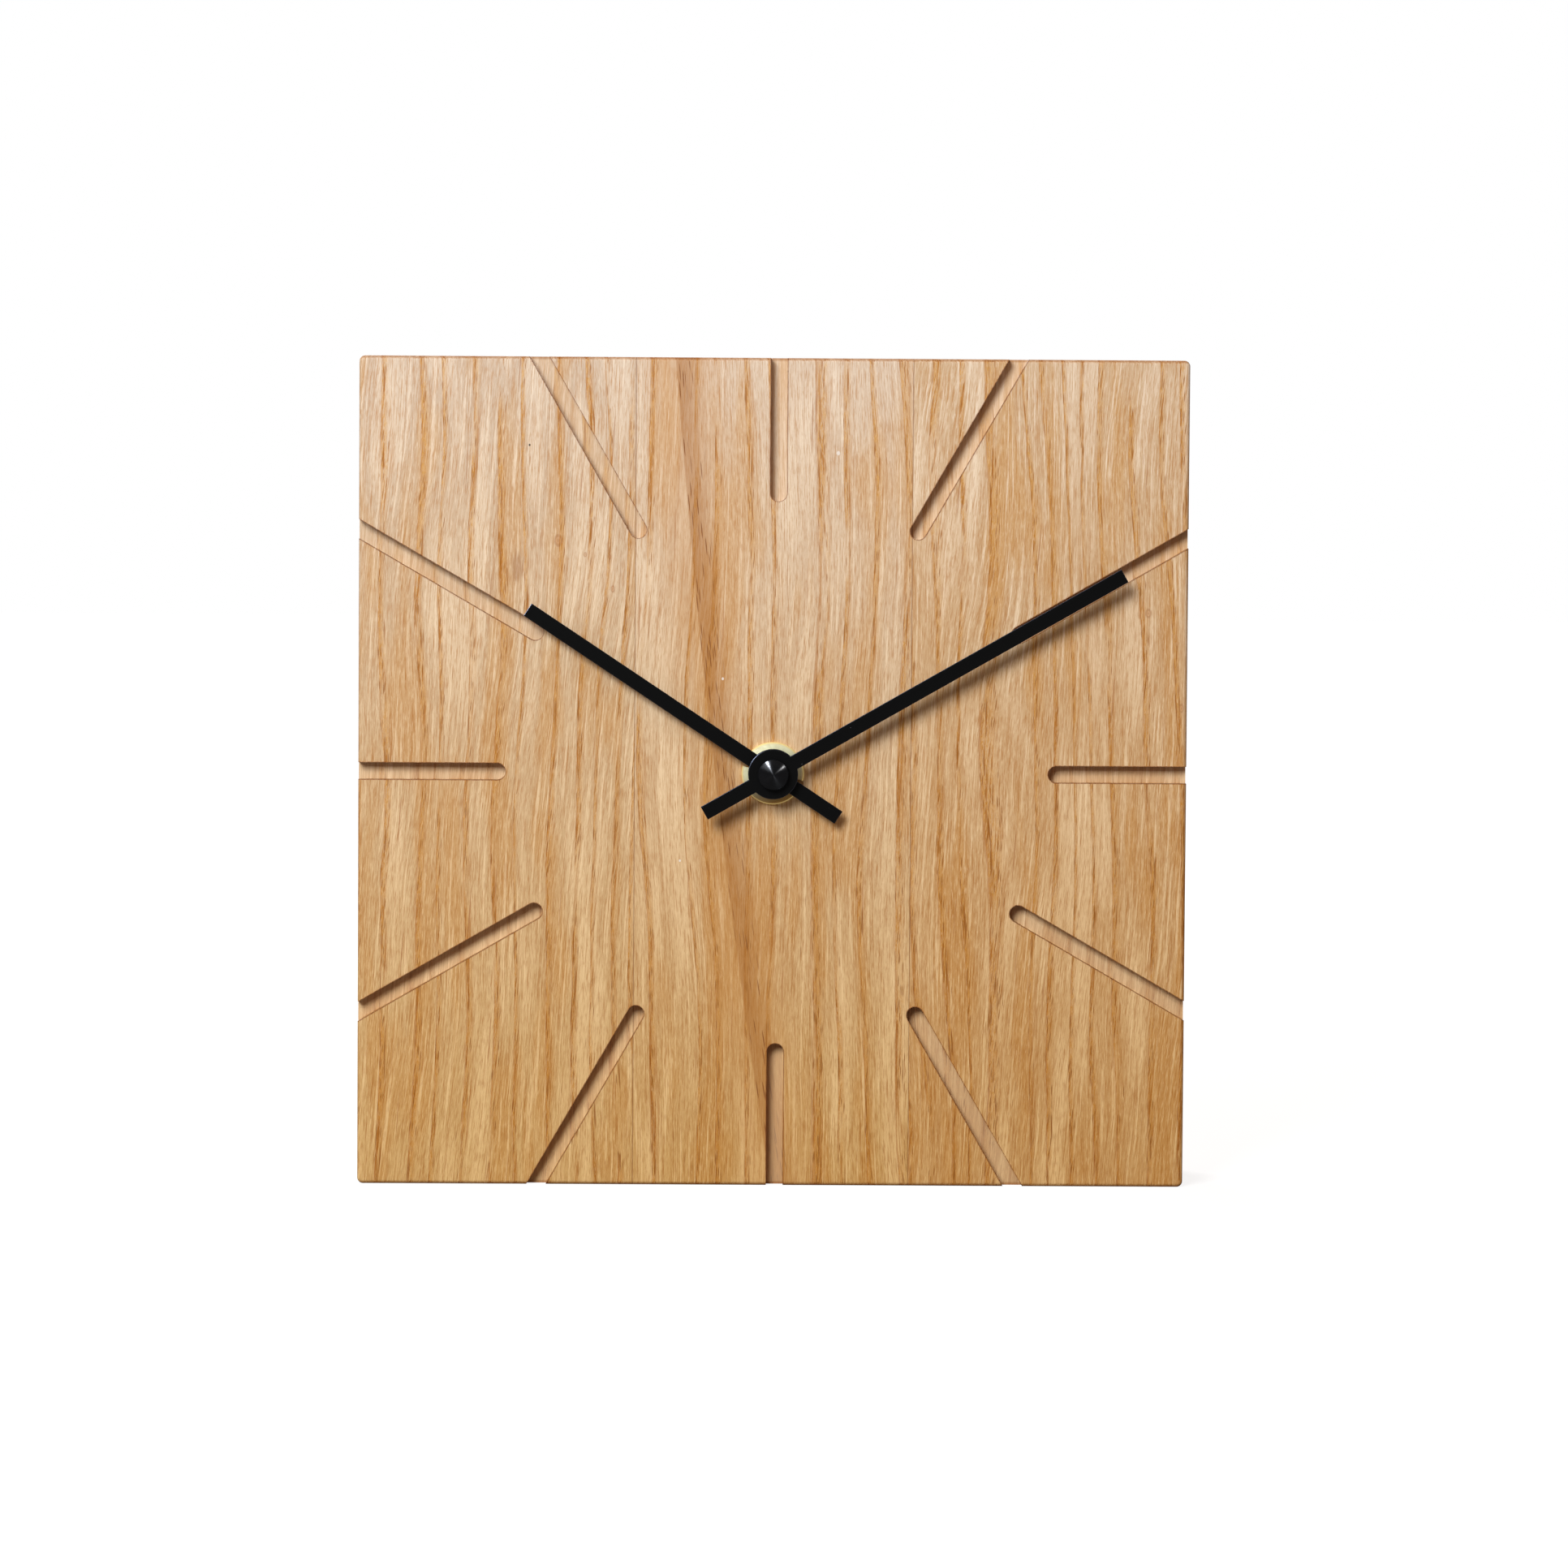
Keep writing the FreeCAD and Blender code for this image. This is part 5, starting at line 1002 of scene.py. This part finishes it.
low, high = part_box("coil_winding")
coil_radius, coil_length = (high.z - low.z) / 2, high.x - low.x
path_radius = coil_radius - WIRE_DIAMETER / 2
sleeve = [(0, 0), (path_radius, 0), (path_radius, coil_length), (0, coil_length)]
coil_centre = Vector((low.x, (low.y + high.y) / 2, (low.z + high.z) / 2))
sleeve_mesh = lathe("coil_sleeve", sleeve, coil_centre, LEFT_TO_RIGHT, steps=SLEEVE_STEPS)
laid_length = coil_length - WIRE_DIAMETER
turns = laid_length / WIRE_DIAMETER
coil = grown("coil_turns", sleeve_mesh, helix_tree(finishes["enamelled_wire"]),
             {"Steps per turn": STEPS_PER_TURN, "Wire sides": WIRE_SIDES, "Turns": turns,
              "Path radius": path_radius, "Wire radius": WIRE_DIAMETER / 2, "Length": laid_length,
              "Start x": low.x + WIRE_DIAMETER / 2, "Axis y": coil_centre.y, "Axis z": coil_centre.z})
print("turns in the outer layer:", round(turns))
hand_over(coil, "root", "coil_winding")

# %% [markdown]
# ## Dry cell
# The cell is a steel can in a shrunk plastic sleeve. The sleeve is rolled in over both ends, the plus end
# has a nub, and the minus end is a flat disc inside an insulating ring. All of it is round, so it is
# turned from one outline and given the one material that changes along its length.
# %% Dry cell
CELL_EDGE = 0.7 * MM
CELL_NUB_RADIUS = 2.6 * MM
CELL_NUB_LENGTH = 1.0 * MM
CELL_SHOULDER_RADIUS = 5.2 * MM
CELL_SHOULDER_STEP = 0.25 * MM
CELL_ROLL_RADIUS = 6.0 * MM
CELL_EDGE_STEPS = 4

low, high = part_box("battery_cell")
cell_radius, cell_length = (high.z - low.z) / 2, high.x - low.x


def rolled_edge(along, start_degrees):
    """The sleeve's rounded edge: a quarter turn of points from the given angle on."""
    turns = [math.radians(start_degrees + 90 * step / CELL_EDGE_STEPS) for step in range(CELL_EDGE_STEPS + 1)]
    middle = cell_radius - CELL_EDGE
    return [(middle + CELL_EDGE * math.cos(turn), along + CELL_EDGE * math.sin(turn)) for turn in turns]


sleeve_start = CELL_NUB_LENGTH + CELL_SHOULDER_STEP
ring_floor = cell_length - CELL_SHOULDER_STEP
outline = [(0, 0), (CELL_NUB_RADIUS - CELL_EDGE / 2, 0), (CELL_NUB_RADIUS, CELL_EDGE / 2),
           (CELL_NUB_RADIUS, sleeve_start), (CELL_SHOULDER_RADIUS, sleeve_start),
           (CELL_ROLL_RADIUS, sleeve_start)]
outline += rolled_edge(CELL_NUB_LENGTH + CELL_EDGE, start_degrees=-90)
outline += rolled_edge(cell_length - CELL_EDGE, start_degrees=0)
outline += [(CELL_ROLL_RADIUS, cell_length), (CELL_ROLL_RADIUS - CELL_SHOULDER_STEP, ring_floor),
            (CELL_SHOULDER_RADIUS, ring_floor), (CELL_SHOULDER_RADIUS - CELL_EDGE, cell_length),
            (0, cell_length)]
cell_centre = Vector((low.x, (low.y + high.y) / 2, (low.z + high.z) / 2))
cell_mesh = lathe("battery_cell_turned", outline, cell_centre, LEFT_TO_RIGHT)
crisp(cell_mesh)
cell_mesh.materials.append(finishes["cell_jacket"])
cell = show("battery_cell_turned", cell_mesh)
hand_over(cell, "root", "battery_cell")

# %% [markdown]
# ## Floor and light
# The picture shows the clock on pure white. The floor is a plain pale sheet that looks white to the
# camera and still holds the clock's shadow. More light on it could make it white too, but would wash out
# the wood. So it glows for the camera and in reflections alone, and less near the clock, where the shadow
# has to show. The room round it is done the same way.
# %% Floor and surrounding
FLOOR_SIDE = 12.0
FLOOR_GREYS = (122, 130)
PAPER_GRAIN = 1.5
SHADOW_REACH = 300
GLOW_IN_SHADOW = 0.87
SURROUND_LIGHT = 0.15
ROOM_COLOUR = (255, 168, 92)


def looked_at(tree):
    """1 for a ray from the camera or a reflection, or through glass, and 0 for one that lights the clock."""
    path = tree.nodes.new("ShaderNodeLightPath")
    seen = Field(tree, path.outputs["Is Camera Ray"])
    for ray in ("Is Glossy Ray", "Is Transmission Ray"):
        seen = seen.math("MAXIMUM", path.outputs[ray])
    return seen


def white_floor():
    """A wide sheet under the clock."""
    mesh = bpy.data.meshes.new("floor")
    half = FLOOR_SIDE / 2
    corners = [(-half, -half, 0), (half, -half, 0), (half, half, 0), (-half, half, 0)]
    mesh.from_pydata(corners, [], [(0, 1, 2, 3)])
    floor = bpy.data.objects.new("floor", mesh)
    bpy.context.scene.collection.objects.link(floor)
    material, tree, shader = new_material("white_sheet")
    across, deep, up = place_in_mm(tree)
    paper = noise(tree, across / PAPER_GRAIN, deep / PAPER_GRAIN, up, detail=2.0)
    darker, lighter = [linear(grey, grey, grey) for grey in FLOOR_GREYS]
    tree.links.new(mixed(tree, paper, darker, lighter), shader.inputs["Base Color"])
    shader.inputs["Roughness"].default_value = 0.9
    shader.inputs["Specular IOR Level"].default_value = 0.0
    shader.inputs["Emission Color"].default_value = (1, 1, 1, 1)
    away = (across * across + deep * deep).math("SQRT").rises(SHADOW_REACH, 3 * SHADOW_REACH)
    glow = away * (1.0 - GLOW_IN_SHADOW) + GLOW_IN_SHADOW
    connect(tree, looked_at(tree) * glow, shader.inputs["Emission Strength"])
    mesh.materials.append(material)


def white_surround():
    """White to the eye and in reflections, and a dim, warm light on the clock."""
    world = bpy.data.worlds.new("studio")
    world.use_nodes = True
    tree = world.node_tree
    seen = looked_at(tree)
    background = tree.nodes["Background"]
    tree.links.new(mixed(tree, seen, linear(*ROOM_COLOUR), (1, 1, 1, 1)), background.inputs["Color"])
    connect(tree, seen * (1.0 - SURROUND_LIGHT) + SURROUND_LIGHT, background.inputs["Strength"])
    bpy.context.scene.world = world


white_floor()
white_surround()
print("floor placed,", FLOOR_SIDE, "m wide")

# %% [markdown]
# One soft lamp above and to the left makes the shadows below the hands and in the grooves. The room and a
# large, weak, warm lamp, higher up and a little to the right, fill them, and one lamp behind keeps the back
# readable. Three small bright lamps stand for the strip lights that show in the black parts: they draw
# the two wedges on the turned cap and the thin line on the hands' edges. Light linking keeps them to
# those parts, because in the picture the wood shows no second shadow.
# %% Lamps
LAMP_DISTANCE = 1.3


def soft_lamp(name, side, sideways_degrees, off_face_degrees, power, only_on=None, colour=(1.0, 1.0, 1.0)):
    """A square lamp aimed at the hub. Sideways is its lean from straight above as the face is seen."""
    data = bpy.data.lights.new(name, "AREA")
    data.size = side
    data.energy = power
    data.color = colour
    lamp = bpy.data.objects.new(name, data)
    lean, off = math.radians(sideways_degrees), math.radians(off_face_degrees)
    way = Vector((math.sin(lean) * math.sin(off), -math.cos(off), math.cos(lean) * math.sin(off)))
    lamp.location = HUB + way * LAMP_DISTANCE
    lamp.visible_diffuse = only_on is None
    lamp.light_linking.receiver_collection = only_on
    lamp.rotation_mode = "QUATERNION"
    lamp.rotation_quaternion = way.to_track_quat("Z", "Y")
    bpy.context.scene.collection.objects.link(lamp)


def collected(name, pieces):
    """A set of pieces that a lamp can be kept to."""
    lit_alone = bpy.data.collections.new(name)
    for piece in pieces:
        lit_alone.objects.link(piece)
    return lit_alone


KEY_COLOUR = (0.95, 1.01, 1.04)
WARM_COLOUR = (1.0, 0.78, 0.58)
STRIP_LIGHT_COLOUR = (0.84, 0.89, 1.0)
cap_only = collected("cap_only", [cap])
black_parts = collected("black_parts", [cap, nodes["minute_hand"], nodes["hour_hand"]])
soft_lamp("key_lamp", side=0.50, sideways_degrees=-37, off_face_degrees=34, power=19.7, colour=KEY_COLOUR)
soft_lamp("right_lamp", side=0.90, sideways_degrees=15, off_face_degrees=52, power=2.1, colour=WARM_COLOUR)
soft_lamp("cone_gleam", side=0.10, sideways_degrees=-28, off_face_degrees=41, power=240.0, only_on=cap_only,
          colour=STRIP_LIGHT_COLOUR)
soft_lamp("cone_gleam_right", side=0.10, sideways_degrees=56, off_face_degrees=41, power=32.0,
          only_on=cap_only)
soft_lamp("edge_gleam", side=0.50, sideways_degrees=-52, off_face_degrees=82, power=60.0, only_on=black_parts,
          colour=STRIP_LIGHT_COLOUR)
soft_lamp("back_lamp", side=0.60, sideways_degrees=-30, off_face_degrees=140, power=14.0)
print("lamps placed:", len(bpy.data.lights))
